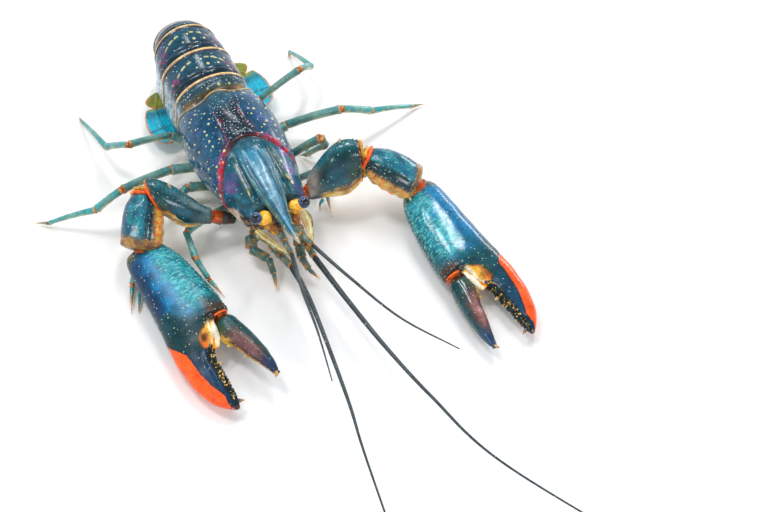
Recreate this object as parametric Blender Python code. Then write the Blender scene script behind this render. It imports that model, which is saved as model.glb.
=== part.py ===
"""A redclaw crayfish at life size, standing on its legs with its claws low and its tail tucked under.

The head points along -Y and the animal's left is +X. Every size below is in millimetres in the body
frame, whose origin lies on the ground under the rear margin of the carapace; MM turns them into metres
when a mesh is made. The last step moves the whole animal so that its box stands centred on the world
origin.
"""

import math

import bmesh
import bpy
import numpy as np
from mathutils import Vector

MM = 0.001
JOINT_GAP = 0.35
RIGHT, LEFT = -1, 1
SIDE_NAMES = {RIGHT: "right", LEFT: "left"}
UP = np.array((0.0, 0.0, 1.0))

# Carapace: (y, half width), (y, height of the back), (y, height of the lower edge)
CARAPACE_HALF_WIDTH = [
    (3, 19.6),
    (-4, 21.3),
    (-14, 22.8),
    (-24, 22.8),
    (-34, 21.7),
    (-44, 19.8),
    (-54, 17.4),
    (-62, 15.2),
    (-66, 13.6),
]
CARAPACE_TOP = [(3, 41.2), (-6, 42.8), (-18, 43.6), (-32, 43.6), (-46, 43.0), (-58, 41.2), (-66, 38.6)]
CARAPACE_BOTTOM = [(3, 11.2), (-28, 11.2), (-42, 15.6), (-54, 17.0), (-66, 18.0)]
CARAPACE_REAR, CARAPACE_FRONT = 3.0, -64.6
REAR_LOBE, REAR_NOTCH, REAR_RECESS = 2.2, 3.0, 1.5
RIM_SHARE, RECESS_SHARE = 0.955, 0.86
GROOVE_DEPTH, GROOVE_WIDTH, GROOVE_APEX, GROOVE_SWEEP, GROOVE_FALL = 1.3, 1.7, -30.2, 0.047, 0.6

# Rostrum: (y, half width), (y, height of its top, thickness)
ROSTRUM_HALF_WIDTH = [
    (-50, 6.6),
    (-60, 5.8),
    (-66, 4.9),
    (-70, 4.0),
    (-74, 3.2),
    (-78, 2.5),
    (-83, 1.7),
    (-87, 1.1),
    (-90.5, 0.3),
]
ROSTRUM_TOP = [(-50, 43.2), (-58, 42.0), (-66, 40.4), (-74, 38.9), (-82, 37.8), (-90.5, 37.2)]
ROSTRUM_SWAY = [(-50, 0.0), (-66, -0.2), (-78, -0.6), (-90.5, -0.2)]
ROSTRUM_THICKNESS = [(-50, 5.0), (-66, 4.8), (-80, 2.6), (-90.5, 0.6)]
ROSTRUM_SPINE_PLACES = (-73.0, -79.0, -84.5)

# Abdomen: a tail that runs back along y, then curls under about a line at CURL_START and CURL_HEIGHT.
# Its sections stand out from that line, each given as distance along the tail, half width, then the
# height of the back, of the widest place, of the belly and of the side plate's tip
CURL_START, CURL_HEIGHT, CURL_RADIUS = 40.0, 21.0, 22.0
TAIL_SECTIONS = [
    (-0.8, 14.0, 16.8, 8.0, 4.0, -1.0),
    (4.2, 15.6, 18.7, 8.0, 4.0, -2.0),
    (5.8, 16.8, 20.8, 8.5, 4.0, -4.5),
    (10.2, 17.5, 22.1, 8.5, 4.0, -8.0),
    (19.0, 17.8, 22.3, 8.0, 4.5, -13.0),
    (28.0, 17.3, 22.2, 8.0, 4.5, -10.0),
    (34.0, 17.4, 22.1, 7.0, 4.5, -11.2),
    (40.0, 16.4, 22.0, 7.0, 4.5, -9.0),
    (46.2, 15.3, 21.8, 8.5, 5.0, 0.8),
    (54.0, 14.4, 21.8, 9.5, 5.5, 1.4),
    (62.0, 13.8, 21.6, 11.0, 6.0, 3.4),
    (70.0, 13.6, 21.4, 12.0, 7.0, 3.0),
    (79.0, 13.0, 21.2, 13.5, 8.0, 6.0),
    (92.0, 12.2, 21.0, 15.0, 9.5, 7.5),
    (107.0, 11.2, 20.2, 16.0, 11.5, 10.5),
]
SEGMENT_ENDS = (-0.8, 10.2, 28.0, 46.2, 62.0, 79.0, 107.0)
TAIL_SWAY = [(0, 0.0), (28, 0.3), (62, 1.4), (107, 2.2)]
PLEURON_FLARE = 1.07
MARGIN_LIP = 0.7
FAN_SWAY = 1.9
# Blades of the tail fan: their line from root to tip, half widths along it, thickness and finish
TELSON_BLADE = ([(0, 40.2, 4.2), (0, 31, 2.8), (0, 21, 2.2), (0, 10.5, 2.0)], (6.6, 7.4, 6.8, 3.6), 2.4)
SIDE_BLADES = {
    "uropod_base": (
        [(19.4, 40.8, 8.2), (21.6, 37.4, 8.2), (23.3, 34.4, 8.0)],
        (1.4, 3.8, 4.6),
        2.2,
        "underside",
    ),
    "uropod_inner": (
        [(12.0, 38.2, 4.8), (14.6, 29.5, 4.6), (17.2, 19.5, 4.4), (18.4, 9.4, 4.2)],
        (3.4, 6.0, 6.8, 3.8),
        1.5,
        "fan_cyan",
    ),
    "uropod_outer": (
        [(24.3, 32.8, 7.6), (25.4, 26.5, 7.4), (25.4, 19, 7.0), (24.6, 10.4, 6.8)],
        (4.8, 6.4, 6.8, 4.2),
        1.5,
        "fan_cyan",
    ),
}

# Limbs: where their joints are, for the animal's right and left side, from the body outwards
WALKING_LEGS = {
    "walking_leg_1": {
        RIGHT: [
            (-13, -38, 7.5),
            (-24, -39.4, 7.9),
            (-37.6, -43.4, 9.3),
            (-39.2, -58.4, 8.2),
            (-37.6, -69, 4),
            (-34.5, -78.6, 0.7),
        ],
        LEFT: [
            (13, -38, 7.5),
            (20, -39, 8.5),
            (29, -41, 11.0),
            (32, -45, 8.5),
            (31, -50.5, 5.5),
            (28.3, -61.5, 0.7),
        ],
    },
    "walking_leg_2": {
        RIGHT: [
            (-13, -25, 7.5),
            (-27, -20.3, 9.7),
            (-46, -29, 9.6),
            (-60.5, -40.5, 4.0),
            (-70, -55, 2.6),
            (-75.5, -67.5, 0.7),
        ],
        LEFT: [
            (13, -25, 7.5),
            (24.5, -27.5, 13),
            (35.8, -37.2, 29.4),
            (37.4, -37.4, 23),
            (32.6, -26, 6),
            (30, -21, 0.7),
        ],
    },
    "walking_leg_3": {
        RIGHT: [
            (-13, -12, 7.5),
            (-31, -8.7, 12),
            (-57, -17.6, 23.2),
            (-70.6, -16.2, 14.7),
            (-92, -4, 2.4),
            (-98, 0.5, 0.6),
        ],
        LEFT: [
            (13, -12, 7.5),
            (30, -9, 11.5),
            (54, -22, 24),
            (69.5, -22.5, 14.5),
            (93.5, -20.5, 2.4),
            (101, -21, 0.6),
        ],
    },
    "walking_leg_4": {
        RIGHT: [
            (-13, 0, 7.5),
            (-23.5, 8.6, 14.5),
            (-45, 2.5, 27),
            (-53.4, 16, 15),
            (-56.8, 47, 2.2),
            (-57, 52, 0.6),
        ],
        LEFT: [
            (13, 0, 7.5),
            (24.5, 9, 15),
            (46, 7.5, 27),
            (55, 15, 17),
            (54.5, 41, 2.2),
            (52.5, 38, 0.6),
        ],
    },
}
LEG_RADII = {
    "walking_leg_1": (2.2, 1.9, 1.65, 1.6, 1.15, 0.4),
    "walking_leg_2": (2.4, 2.2, 2.1, 1.9, 1.3, 0.45),
    "walking_leg_3": (2.5, 2.35, 2.0, 1.8, 0.95, 0.4),
    "walking_leg_4": (2.3, 1.9, 1.75, 1.7, 0.85, 0.4),
}
LEG_JOINT_SWELL = 1.14
# The two front pairs end in small claws: root, middle and tip of the movable finger
SMALL_FINGERS = {
    "walking_leg_1": {
        RIGHT: [(-39.4, -70.4, 3.6), (-39.0, -74.4, 2.4), (-37.2, -77.6, 1.0)],
        LEFT: [(28.2, -52.6, 4.6), (26.2, -53.4, 3.0), (25.0, -55.2, 1.0)],
    },
    "walking_leg_2": {
        RIGHT: [(-68.0, -58.4, 2.8), (-70.0, -63.6, 2.0), (-72.4, -68.6, 0.9)],
        LEFT: [(34.2, -23.0, 5.0), (33.8, -21.2, 3.0), (32.8, -19.6, 1.0)],
    },
}
SMALL_FINGER_RADII = (0.8, 0.8, 0.7, 0.5, 0.25)

# Great claws and their arms: places of the joints, then where the claw's wrist is, and how it is turned
CHELIPEDS = {
    RIGHT: {
        "hip": (-15.0, -51.0, 10.6),
        "knee": (-24.5, -46.4, 17.0),
        "merus_end": (-43.8, -35.0, 26.2),
        "carpus_start": (-50.4, -30.0, 26.6),
        "carpus_end": (-59.6, -43.8, 18.8),
        "claw": (-58.5, -47.6, 11.5),
        "claw_bearing": 6.2,
        "claw_breadth": 1.0,
        "claw_roll": 6.0,
        "finger_lift": 3.0,
        "finger_swing": 0.0,
    },
    LEFT: {
        "hip": (14.5, -52.5, 10.6),
        "knee": (22.2, -52.9, 17.5),
        "merus_end": (47.6, -56.2, 27.4),
        "carpus_start": (51.0, -58.2, 26.8),
        "carpus_end": (65.4, -72.6, 19.0),
        "claw": (66.8, -74.2, 10.7),
        "claw_bearing": 5.0,
        "claw_breadth": 0.94,
        "claw_roll": 0.0,
        "finger_lift": 0.5,
        "finger_swing": 2.2,
    },
}
MERUS_LEAN = math.radians(24)
MERUS_HALF_WIDTHS = (4.0, 5.0, 5.8, 6.4, 6.9, 7.2, 7.3, 7.0, 5.8)
MERUS_HALF_HEIGHTS = (5.6, 8.0, 9.8, 10.8, 11.2, 11.4, 11.2, 10.4, 8.4)
CARPUS_HALF_WIDTHS = (4.4, 6.6, 7.9, 8.6, 9.0, 9.2, 9.2, 9.0, 7.8)
CARPUS_HALF_HEIGHTS = (4.6, 6.8, 8.0, 8.6, 8.8, 8.6, 8.1, 7.2, 5.4)
CLAW_PITCH = -2.6
# Claw: (distance from the wrist, outer edge, inner edge, half thickness); the outer edge is negative
CLAW_STATIONS = [
    (-2.6, -7.4, 4.6, 4.0),
    (-1.6, -9.0, 6.4, 5.4),
    (0.0, -10.1, 8.0, 6.6),
    (4.0, -11.1, 10.0, 7.8),
    (9.0, -11.7, 11.6, 8.5),
    (20.0, -12.4, 13.8, 9.0),
    (34.0, -13.4, 15.6, 8.9),
    (42.0, -14.3, 16.0, 8.4),
    (46.0, -14.9, 15.6, 7.9),
    (47.0, -15.0, 14.6, 7.6),
    (47.5, -14.9, 6.8, 7.4),
    (52.0, -15.4, 5.8, 7.0),
    (56.0, -15.7, 4.8, 6.5),
    (59.0, -15.7, 1.9, 6.1),
    (63.0, -15.5, 0.2, 5.6),
    (70.0, -14.9, -0.3, 4.9),
    (76.0, -13.4, -0.8, 4.2),
    (81.0, -11.4, -1.2, 3.4),
    (85.0, -8.6, -1.7, 2.4),
    (87.6, -6.0, -2.4, 1.3),
    (88.8, -4.6, -3.0, 0.5),
]
# Movable finger in the claw's frame: (distance, inner edge, outer edge, half thickness)
FINGER_STATIONS = [
    (48.4, 8.4, 15.0, 3.6),
    (50.0, 7.2, 16.4, 5.0),
    (54.0, 6.3, 17.6, 5.6),
    (57.0, 5.9, 18.4, 5.5),
    (60.0, 7.1, 19.0, 5.3),
    (62.5, 8.6, 19.4, 5.1),
    (66.0, 10.1, 19.9, 4.8),
    (70.0, 11.4, 20.3, 4.4),
    (74.0, 12.7, 20.5, 3.9),
    (78.0, 14.3, 20.5, 3.2),
    (82.0, 15.7, 20.0, 2.4),
    (85.0, 16.7, 19.2, 1.4),
    (86.4, 17.2, 18.4, 0.5),
]
TOOTH_PLACES = (61.5, 66.0, 70.5, 75.0, 79.5, 83.5)

# Eyes: the stalk's root, its tip, and the ball's centre
EYES = {
    RIGHT: ((-5.0, -69.0, 33.0), (-8.9, -69.7, 34.9), (-11.4, -69.7, 37.1)),
    LEFT: ((4.6, -69.7, 33.2), (8.2, -70.5, 34.9), (10.9, -71.5, 36.8)),
}
EYE_RADIUS = 2.5

# Feelers: points from the root to the tip
ANTENNA_LINES = {
    RIGHT: [
        (-4.4, -89.0, 18.5),
        (-4.6, -103, 19.4),
        (-6.4, -121, 20),
        (-11.6, -159, 18),
        (-16, -183, 15),
        (-23.7, -236, 7),
    ],
    LEFT: [
        (6.9, -89.2, 18.5),
        (9.2, -114, 20),
        (13.4, -144, 20),
        (20.2, -174, 18),
        (31.8, -211, 15),
        (67, -270, 7),
    ],
}
ANTENNULE_LINES = {
    RIGHT: [(-4.0, -89.4, 29.5), (-8, -109, 30), (-10.6, -128.9, 28), (-15, -151.6, 25)],
    LEFT: [(6.3, -89.6, 29.5), (13, -112, 30), (23.6, -139, 28), (39.6, -162.7, 25)],
}
ANTENNA_RADII = (1.4, 0.3)
ANTENNULE_RADII = (0.95, 0.25)
MAXILLIPED_LINES = {
    RIGHT: [
        (-8.6, -60.5, 9.8),
        (-12.4, -60.8, 10.5),
        (-14.8, -66.2, 9.6),
        (-9.4, -73.2, 7.0),
        (-10.2, -80.0, 4.0),
        (-12.2, -87.2, 2.0),
    ],
    LEFT: [
        (7.6, -60.5, 10.4),
        (8.2, -68.5, 10.8),
        (5.4, -75.0, 9.4),
        (4.0, -80.5, 8.0),
        (5.0, -86.0, 5.2),
        (7.4, -91.6, 3.6),
    ],
}
MAXILLIPED_RADII = (2.5, 2.5, 2.2, 1.8, 1.2, 0.4)

COLOURS = {
    "shell_blue": (0.05, 0.12, 0.20),
    "shell_teal": (0.06, 0.22, 0.26),
    "claw_blue": (0.04, 0.25, 0.36),
    "fan_cyan": (0.03, 0.42, 0.58),
    "joint_orange": (0.85, 0.28, 0.06),
    "leg_teal": (0.16, 0.36, 0.36),
    "feeler_grey": (0.16, 0.20, 0.21),
    "scale_cream": (0.72, 0.70, 0.42),
    "stalk_yellow": (0.90, 0.55, 0.10),
    "eye_dark": (0.05, 0.08, 0.18),
    "underside": (0.55, 0.48, 0.30),
}


def material(name):
    """The plain shell material of that name, made once."""
    found = bpy.data.materials.get(name)
    if found:
        return found
    made = bpy.data.materials.new(name)
    made.use_nodes = True
    shader = made.node_tree.nodes["Principled BSDF"]
    shader.inputs["Base Color"].default_value = (*COLOURS[name], 1.0)
    shader.inputs["Roughness"].default_value = 0.28
    shader.inputs["Metallic"].default_value = 0.0
    return made


def through(knots, places):
    """Values at the places of a smooth curve through the knots, each (place, value, ...)."""
    table = np.array(knots, float)
    table = table[np.argsort(table[:, 0])]
    x, y = table[:, 0], table[:, 1:]
    slopes = np.gradient(y, x, axis=0)
    at = np.clip(places, x[0], x[-1])
    i = np.clip(np.searchsorted(x, at, side="right") - 1, 0, len(x) - 2)
    step = (x[i + 1] - x[i])[:, None]
    t = ((at - x[i])[:, None]) / step
    return (
        y[i] * (1 + 2 * t) * (1 - t) ** 2
        + slopes[i] * step * t * (1 - t) ** 2
        + y[i + 1] * t * t * (3 - 2 * t)
        + slopes[i + 1] * step * t * t * (t - 1)
    )


def line_through(points, count):
    """count points, evenly numbered along a smooth line through the points."""
    numbered = [(i, *point) for i, point in enumerate(points)]
    return through(numbered, np.linspace(0, len(points) - 1, count))


def unit(v):
    return v / np.linalg.norm(v, axis=-1, keepdims=True)


def oval(count, power):
    """Sideways and upward shares of the points of a rounded oval; a power above 2 makes it squarer."""
    turns = np.linspace(0, 2 * math.pi, count, endpoint=False)
    c, s = np.cos(turns), np.sin(turns)
    return np.sign(c) * abs(c) ** (2 / power), np.sign(s) * abs(s) ** (2 / power)


def tube_rings(path, half_widths, half_heights, up=UP, count=12, power=2.2, upright=False):
    """Rings of a limb: ovals across a path, wide across it and high along up.

    With upright they keep exactly to up, and are sheared where the path rises."""
    path = np.array(path, float)
    ahead = unit(np.gradient(path, axis=0))
    side = unit(np.cross(ahead, up))
    over = np.broadcast_to(up, side.shape) if upright else np.cross(side, ahead)
    across, upward = oval(count, power)
    wide = np.asarray(half_widths, float)[:, None, None] * across[None, :, None] * side[:, None, :]
    high = np.asarray(half_heights, float)[:, None, None] * upward[None, :, None] * over[:, None, :]
    return path[:, None, :] + wide + high


def mesh_object(name, mesh, finish):
    """Puts a mesh, already in metres, into the animal as a part of that finish."""
    for polygon in mesh.polygons:
        polygon.use_smooth = True
    made = bpy.data.objects.new(name, mesh)
    made.data.materials.append(material(finish))
    animal.objects.link(made)
    made.parent = origin
    return made


def loft(name, rings, finish):
    """A closed solid through the rings, in millimetres, with flat ends."""
    shell = bmesh.new()
    rows = [[shell.verts.new(Vector(point) * MM) for point in ring] for ring in rings]
    count = len(rows[0])
    for near, far in zip(rows, rows[1:]):
        for i in range(count):
            j = (i + 1) % count
            shell.faces.new((near[i], near[j], far[j], far[i]))
    shell.faces.new(rows[0][::-1])
    shell.faces.new(rows[-1])
    bmesh.ops.recalc_face_normals(shell, faces=shell.faces)
    mesh = bpy.data.meshes.new(name)
    shell.to_mesh(mesh)
    shell.free()
    return mesh_object(name, mesh, finish)


def spike(base, direction, length, radius, sides=6):
    """A small cone for a spine or a tooth, to be fused to a part."""
    cone = bmesh.new()
    bmesh.ops.create_cone(
        cone,
        cap_ends=True,
        segments=sides,
        radius1=radius * MM,
        radius2=0.18 * radius * MM,
        depth=length * MM,
    )
    turn = Vector(direction).to_track_quat("Z", "Y").to_matrix().to_4x4()
    middle = Vector(base) + Vector(direction).normalized() * (length / 2)
    bmesh.ops.transform(cone, matrix=turn, verts=cone.verts)
    bmesh.ops.translate(cone, vec=middle * MM, verts=cone.verts)
    mesh = bpy.data.meshes.new("spike")
    cone.to_mesh(mesh)
    cone.free()
    made = bpy.data.objects.new("spike", mesh)
    bpy.context.scene.collection.objects.link(made)
    made.parent = origin
    return made


def fuse(part, pieces):
    """Joins the pieces to the part in one Boolean union, and removes them."""
    extras = bpy.data.collections.new("fused_pieces")
    bpy.context.scene.collection.children.link(extras)
    for piece in pieces:
        for owner in list(piece.users_collection):
            owner.objects.unlink(piece)
        extras.objects.link(piece)
    union = part.modifiers.new("union", "BOOLEAN")
    union.operation = "UNION"
    union.operand_type = "COLLECTION"
    union.collection = extras
    graph = bpy.context.evaluated_depsgraph_get()
    joined = bpy.data.meshes.new_from_object(part.evaluated_get(graph))
    part.modifiers.clear()
    part.data = joined
    for piece in list(extras.objects):
        bpy.data.objects.remove(piece)
    bpy.data.collections.remove(extras)
    return part


def wire(name, line, radii, finish, sides_level=1):
    """A round tapering solid along a line, in millimetres: a leg or a feeler, as a bevelled curve."""
    curve = bpy.data.curves.new(name, "CURVE")
    curve.dimensions = "3D"
    curve.bevel_depth = MM
    curve.bevel_resolution = sides_level
    curve.use_fill_caps = True
    spline = curve.splines.new("POLY")
    spline.points.add(len(line) - 1)
    for point, place, radius in zip(spline.points, line, radii):
        point.co = (*(Vector(place) * MM), 1.0)
        point.radius = radius
    made = bpy.data.objects.new(name, curve)
    curve.materials.append(material(finish))
    animal.objects.link(made)
    made.parent = origin
    return made


def carapace_rings(stations, count):
    """Rings of the carapace, rear margin to head, with the groove pressed in, and their centres."""
    ys = np.linspace(CARAPACE_REAR, CARAPACE_FRONT, stations)
    half_width = through(CARAPACE_HALF_WIDTH, ys)[:, 0]
    top = through(CARAPACE_TOP, ys)[:, 0]
    bottom = through(CARAPACE_BOTTOM, ys)[:, 0]
    middle = bottom + 0.4 * (top - bottom)
    across, upward = oval(count, 2.2)
    rings = np.zeros((stations, count, 3))
    rings[:, :, 0] = half_width[:, None] * across
    height = np.where(upward > 0, (top - middle)[:, None] * upward, (middle - bottom)[:, None] * upward)
    rings[:, :, 2] = middle[:, None] + height
    near_rear = np.clip((ys - CARAPACE_FRONT) / (CARAPACE_REAR - CARAPACE_FRONT), 0, 1)[:, None] ** 8
    sweep = REAR_LOBE * across**4 - REAR_NOTCH * np.sin(math.pi * across) ** 2 * (upward > 0)
    rings[:, :, 1] = ys[:, None] + sweep * near_rear
    fall = np.clip(30 - rings[:, :, 2], 0, 14)
    groove_y = GROOVE_APEX - GROOVE_SWEEP * rings[:, :, 0] ** 2 - GROOVE_FALL * fall
    apart = (rings[:, :, 1] - groove_y) / GROOVE_WIDTH
    press = GROOVE_DEPTH * np.exp(-(apart**2)) * (rings[:, :, 2] > 17)
    centres = np.stack([0 * ys, ys, middle], 1)[:, None, :]
    inward = centres - rings
    inward[:, :, 1] = 0
    return rings + unit(inward) * press[:, :, None], centres


def make_carapace():
    rings, centres = carapace_rings(stations=30, count=26)
    rim = centres[0] + (rings[0] - centres[0]) * (RIM_SHARE, 1, RIM_SHARE)
    recess = centres[0] + (rings[0] - centres[0]) * (RECESS_SHARE, 0, RECESS_SHARE)
    recess[:, 1] -= CARAPACE_REAR + REAR_RECESS
    face = rings[-1].mean(axis=0)
    nose = [face + (rings[-1] - face) * share - (0, drop, 0) for share, drop in ((0.86, 1.1), (0.6, 1.8))]
    shell = loft("carapace", [recess, rim, *rings, *nose], "shell_blue")
    ys = np.linspace(-50, -90.5, 12)
    half = through(ROSTRUM_HALF_WIDTH, ys)[:, 0]
    top = through(ROSTRUM_TOP, ys)[:, 0]
    thick = through(ROSTRUM_THICKNESS, ys)[:, 0]
    sway = through(ROSTRUM_SWAY, ys)[:, 0]
    line = np.stack([sway, ys, top - thick / 2], 1)
    rostrum = loft("rostrum", tube_rings(line, half, thick / 2, count=10, power=3.0), "shell_teal")
    spines = []
    for side in (RIGHT, LEFT):
        for y in ROSTRUM_SPINE_PLACES:
            edge = through(ROSTRUM_HALF_WIDTH, np.array([y]))[0, 0]
            level = through(ROSTRUM_TOP, np.array([y]))[0, 0] - 1.0
            sway = through(ROSTRUM_SWAY, np.array([y]))[0, 0]
            spines.append(spike((sway + side * (edge - 0.9), y, level), (side * 0.6, -1, 0.35), 2.4, 0.7))
        spines.append(spike((side * 9.4, -56.5, 40.2), (side * 0.15, -1, 0.15), 4.0, 1.1))
        spines.append(spike((side * 13.4, -60.4, 28.5), (side * 0.2, -1, 0.05), 5.0, 1.2))
    return fuse(shell, [rostrum, *spines])


def make_sternum():
    ys = np.linspace(1.0, -58.0, 8)
    line = np.stack([0 * ys, ys, 0 * ys + 7.4], 1)
    half = through([(-58, 5.0), (-40, 8.4), (-14, 9.2), (1, 7.0)], ys)[:, 0]
    loft("sternum", tube_rings(line, half, 0 * ys + 2.7, count=10, power=3.0), "underside")


def tail_frame(s):
    """Where the ring at distance s along the tail stands, and which way it points, in the YZ plane."""
    angle = math.pi / 2 - max(0.0, s - CURL_START) / CURL_RADIUS
    foot = np.array((through(TAIL_SWAY, np.array([s]))[0, 0], min(s, CURL_START), CURL_HEIGHT))
    return foot, np.array((0.0, math.cos(angle), math.sin(angle)))


def tail_ring(s, grow, arch_points=13):
    """One ring of the tail: over the back from side plate to side plate, then under the hollow belly."""
    foot, outward = tail_frame(s)
    half, back, widest, belly, tip = through(TAIL_SECTIONS, np.array([s]))[0]
    half, back = half + grow, back + grow
    turns = np.linspace(0, math.pi, arch_points)
    arch_x, arch_r = half * np.cos(turns), widest + (back - widest) * np.sin(turns)
    flared = PLEURON_FLARE * half if s < CURL_START else half
    x = [flared - 0.8, flared, *arch_x, -flared, 0.8 - flared]
    r = [tip, (tip + widest) / 2, *arch_r, (tip + widest) / 2, tip]
    inside = half - 2.2
    x += [2.4 - flared, -inside, -0.6 * half, 0.6 * half, inside, flared - 2.4]
    r += [tip + 0.5, (tip + belly) / 2, belly, belly, (tip + belly) / 2, tip + 0.5]
    return foot + np.array(x)[:, None] * (1, 0, 0) + np.array(r)[:, None] * outward


def make_abdomen():
    """Six ringed segments; each one's rear margin stands proud of the front of the next."""
    for number, (start, end) in enumerate(zip(SEGMENT_ENDS, SEGMENT_ENDS[1:]), 1):
        first, last = start + JOINT_GAP / 2, end - JOINT_GAP / 2
        places = [first + share * (last - first) for share in (0.0, 0.14, 0.4, 0.7, 1.0)]
        places.insert(4, last - 1.1)
        growths = (-MARGIN_LIP, 0.0, 0.2, 0.25, 0.1, MARGIN_LIP)
        rings = [tail_ring(s, grow) for s, grow in zip(places, growths)]
        loft(f"abdomen_{number}", rings, "shell_blue")


def plate(name, line, half_widths, thickness, finish, tilt=0.0):
    """A thin blade of the tail fan along a line, in the horizontal plane apart from its tilt."""
    up = np.array((math.sin(tilt), 0.0, math.cos(tilt)))
    thick = np.linspace(thickness, 0.6 * thickness, len(line)) / 2
    return loft(name, tube_rings(line, half_widths, thick, up=up, count=8, power=2.6), finish)


def fan_profile(line, widths, count=8):
    """A blade's line and half widths, evenly spaced, from a few of each."""
    return line_through(line, count), line_through([(w,) for w in widths], count)[:, 0]


def make_tail_fan():
    """The telson and, on each side, the two blades of the uropod with their common base."""
    places, widths, thickness = TELSON_BLADE
    line, half = fan_profile([(FAN_SWAY + x, y, z) for x, y, z in places], widths)
    plate("telson", line, half, thickness, "shell_blue")
    for side in (RIGHT, LEFT):
        for name, (places, widths, thickness, finish) in SIDE_BLADES.items():
            placed = [(FAN_SWAY + side * x, y, z) for x, y, z in places]
            line, half = fan_profile(placed, widths, count=5 if name == "uropod_base" else 8)
            plate(f"{name}_{SIDE_NAMES[side]}", line, half, thickness, finish, tilt=-side * 0.08)


def make_eyes():
    for side, (root, tip, centre) in EYES.items():
        name = SIDE_NAMES[side]
        root, tip = np.array(root), np.array(tip)
        path = line_through([root, (root + tip) / 2, tip], 5)
        half = np.array((2.1, 2.9, 3.2, 2.9, 2.1))
        loft(f"eye_stalk_{name}", tube_rings(path, half, half, count=8), "stalk_yellow")
        ball = bmesh.new()
        bmesh.ops.create_uvsphere(ball, u_segments=10, v_segments=8, radius=EYE_RADIUS * MM)
        bmesh.ops.translate(ball, vec=Vector(centre) * MM, verts=ball.verts)
        mesh = bpy.data.meshes.new(f"eye_{name}")
        ball.to_mesh(mesh)
        ball.free()
        mesh_object(f"eye_{name}", mesh, "eye_dark")


def make_feelers():
    """Antennal scales, then the jointed bases and long whips of the antennae and the antennules."""
    for side in (RIGHT, LEFT):
        name = SIDE_NAMES[side]
        scale_tip = (-3.9, -86.2, 24.4) if side == RIGHT else (8.3, -84.4, 24.4)
        bend = -9.6 if side == RIGHT else 11.0
        path = line_through([(side * 11.6, -67.6, 24.6), (bend, -73.8, 25.0), scale_tip], 7)
        half = np.array((1.4, 2.0, 2.2, 2.2, 1.9, 1.3, 0.3))
        loft(f"antennal_scale_{name}", tube_rings(path, half, half * 0 + 0.5, count=8), "scale_cream")
        start = np.array(ANTENNA_LINES[side][0])
        path = line_through([(side * 7.2, -71.8, 17.8), (side * 6.7, -78, 18.2), start + (0, 0.7, 0)], 7)
        half = np.array((2.0, 2.1, 1.9, 1.9, 1.8, 1.8, 1.5))
        loft(f"antenna_base_{name}", tube_rings(path, half, half, count=8), "leg_teal")
        line = line_through(ANTENNA_LINES[side], 26)
        wire(f"antenna_{name}", line, np.linspace(*ANTENNA_RADII, 26), "feeler_grey")
        start = np.array(ANTENNULE_LINES[side][0])
        path = line_through([(side * 3.2, -71.2, 29.0), (side * 3.7, -79, 29.4), start + (0, 0.4, 0)], 7)
        half = np.array((1.8, 1.9, 1.7, 1.7, 1.5, 1.5, 1.1))
        loft(f"antennule_base_{name}", tube_rings(path, half, half, count=8), "leg_teal")
        line = line_through(ANTENNULE_LINES[side], 16)
        wire(f"antennule_{name}", line, np.linspace(*ANTENNULE_RADII, 16), "feeler_grey")


def make_maxillipeds():
    for side, joints in MAXILLIPED_LINES.items():
        line = line_through(joints, 16)
        radii = line_through([(radius,) for radius in MAXILLIPED_RADII], 16)[:, 0]
        wire(f"maxilliped_{SIDE_NAMES[side]}", line, radii, "leg_teal")


def leg_line(joints, joint_radii):
    """A leg's line and radii: straight limbs between its joints, each with a swelling at its far end."""
    places, radii = [], []
    for number, (near, far) in enumerate(zip(joints, joints[1:])):
        near, far = np.array(near, float), np.array(far, float)
        for share in (0.0, 0.35, 0.7, 0.92):
            radius = joint_radii[number] + (joint_radii[number + 1] - joint_radii[number]) * share
            swell = LEG_JOINT_SWELL if share == 0.92 or (share == 0 and number) else 1.0
            bow = 0.03 * np.linalg.norm(far - near) * math.sin(math.pi * share)
            places.append(near + (far - near) * share + UP * bow)
            radii.append(radius * swell)
    places.append(np.array(joints[-1], float))
    radii.append(joint_radii[-1])
    return places, radii


def make_walking_legs():
    for name, sides in WALKING_LEGS.items():
        for side, joints in sides.items():
            line, radii = leg_line(joints, LEG_RADII[name])
            wire(f"{name}_{SIDE_NAMES[side]}", line, radii, "leg_teal")
            if name in SMALL_FINGERS:
                line = line_through(SMALL_FINGERS[name][side], len(SMALL_FINGER_RADII))
                wire(f"{name}_finger_{SIDE_NAMES[side]}", line, SMALL_FINGER_RADII, "leg_teal")


def claw_axes(side, pose):
    """Unit vectors of a claw: ahead to its tip, inward to its movable finger, and over its back."""
    bearing, pitch, roll = (math.radians(a) for a in (pose["claw_bearing"], CLAW_PITCH, pose["claw_roll"]))
    level_ahead = np.array((math.sin(bearing), -math.cos(bearing), 0.0))
    ahead = level_ahead * math.cos(pitch) + UP * math.sin(pitch)
    level = unit(np.cross(ahead, UP)) * side
    over = np.cross(level, ahead) * side
    inward = level * math.cos(roll) + over * math.sin(roll)
    return ahead, inward, over * math.cos(roll) - level * math.sin(roll)


def claw_rings(side, pose, table, count, power):
    """Rings across the claw at each row of a table of (distance, one edge, other edge, half thickness)."""
    ahead, inward, over = claw_axes(side, pose)
    across, upward = oval(count, power)
    breadth = pose["claw_breadth"]
    rings = []
    for along, edge, other, high in table:
        centre = np.array(pose["claw"]) + ahead * along + inward * breadth * (edge + other) / 2
        wide = breadth * abs(other - edge) / 2
        rings.append(centre + (wide * across)[:, None] * inward + (high * upward)[:, None] * over)
    return rings


def finger_move(side, pose, along):
    """The movable finger's lift, and swing towards the fixed finger, at that distance along the claw."""
    ahead, inward, over = claw_axes(side, pose)
    start, end = FINGER_STATIONS[0][0], FINGER_STATIONS[-1][0]
    share = (along - start) / (end - start)
    return over * pose["finger_lift"] * share - inward * pose["finger_swing"] * (0.1 + 0.9 * share)


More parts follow.
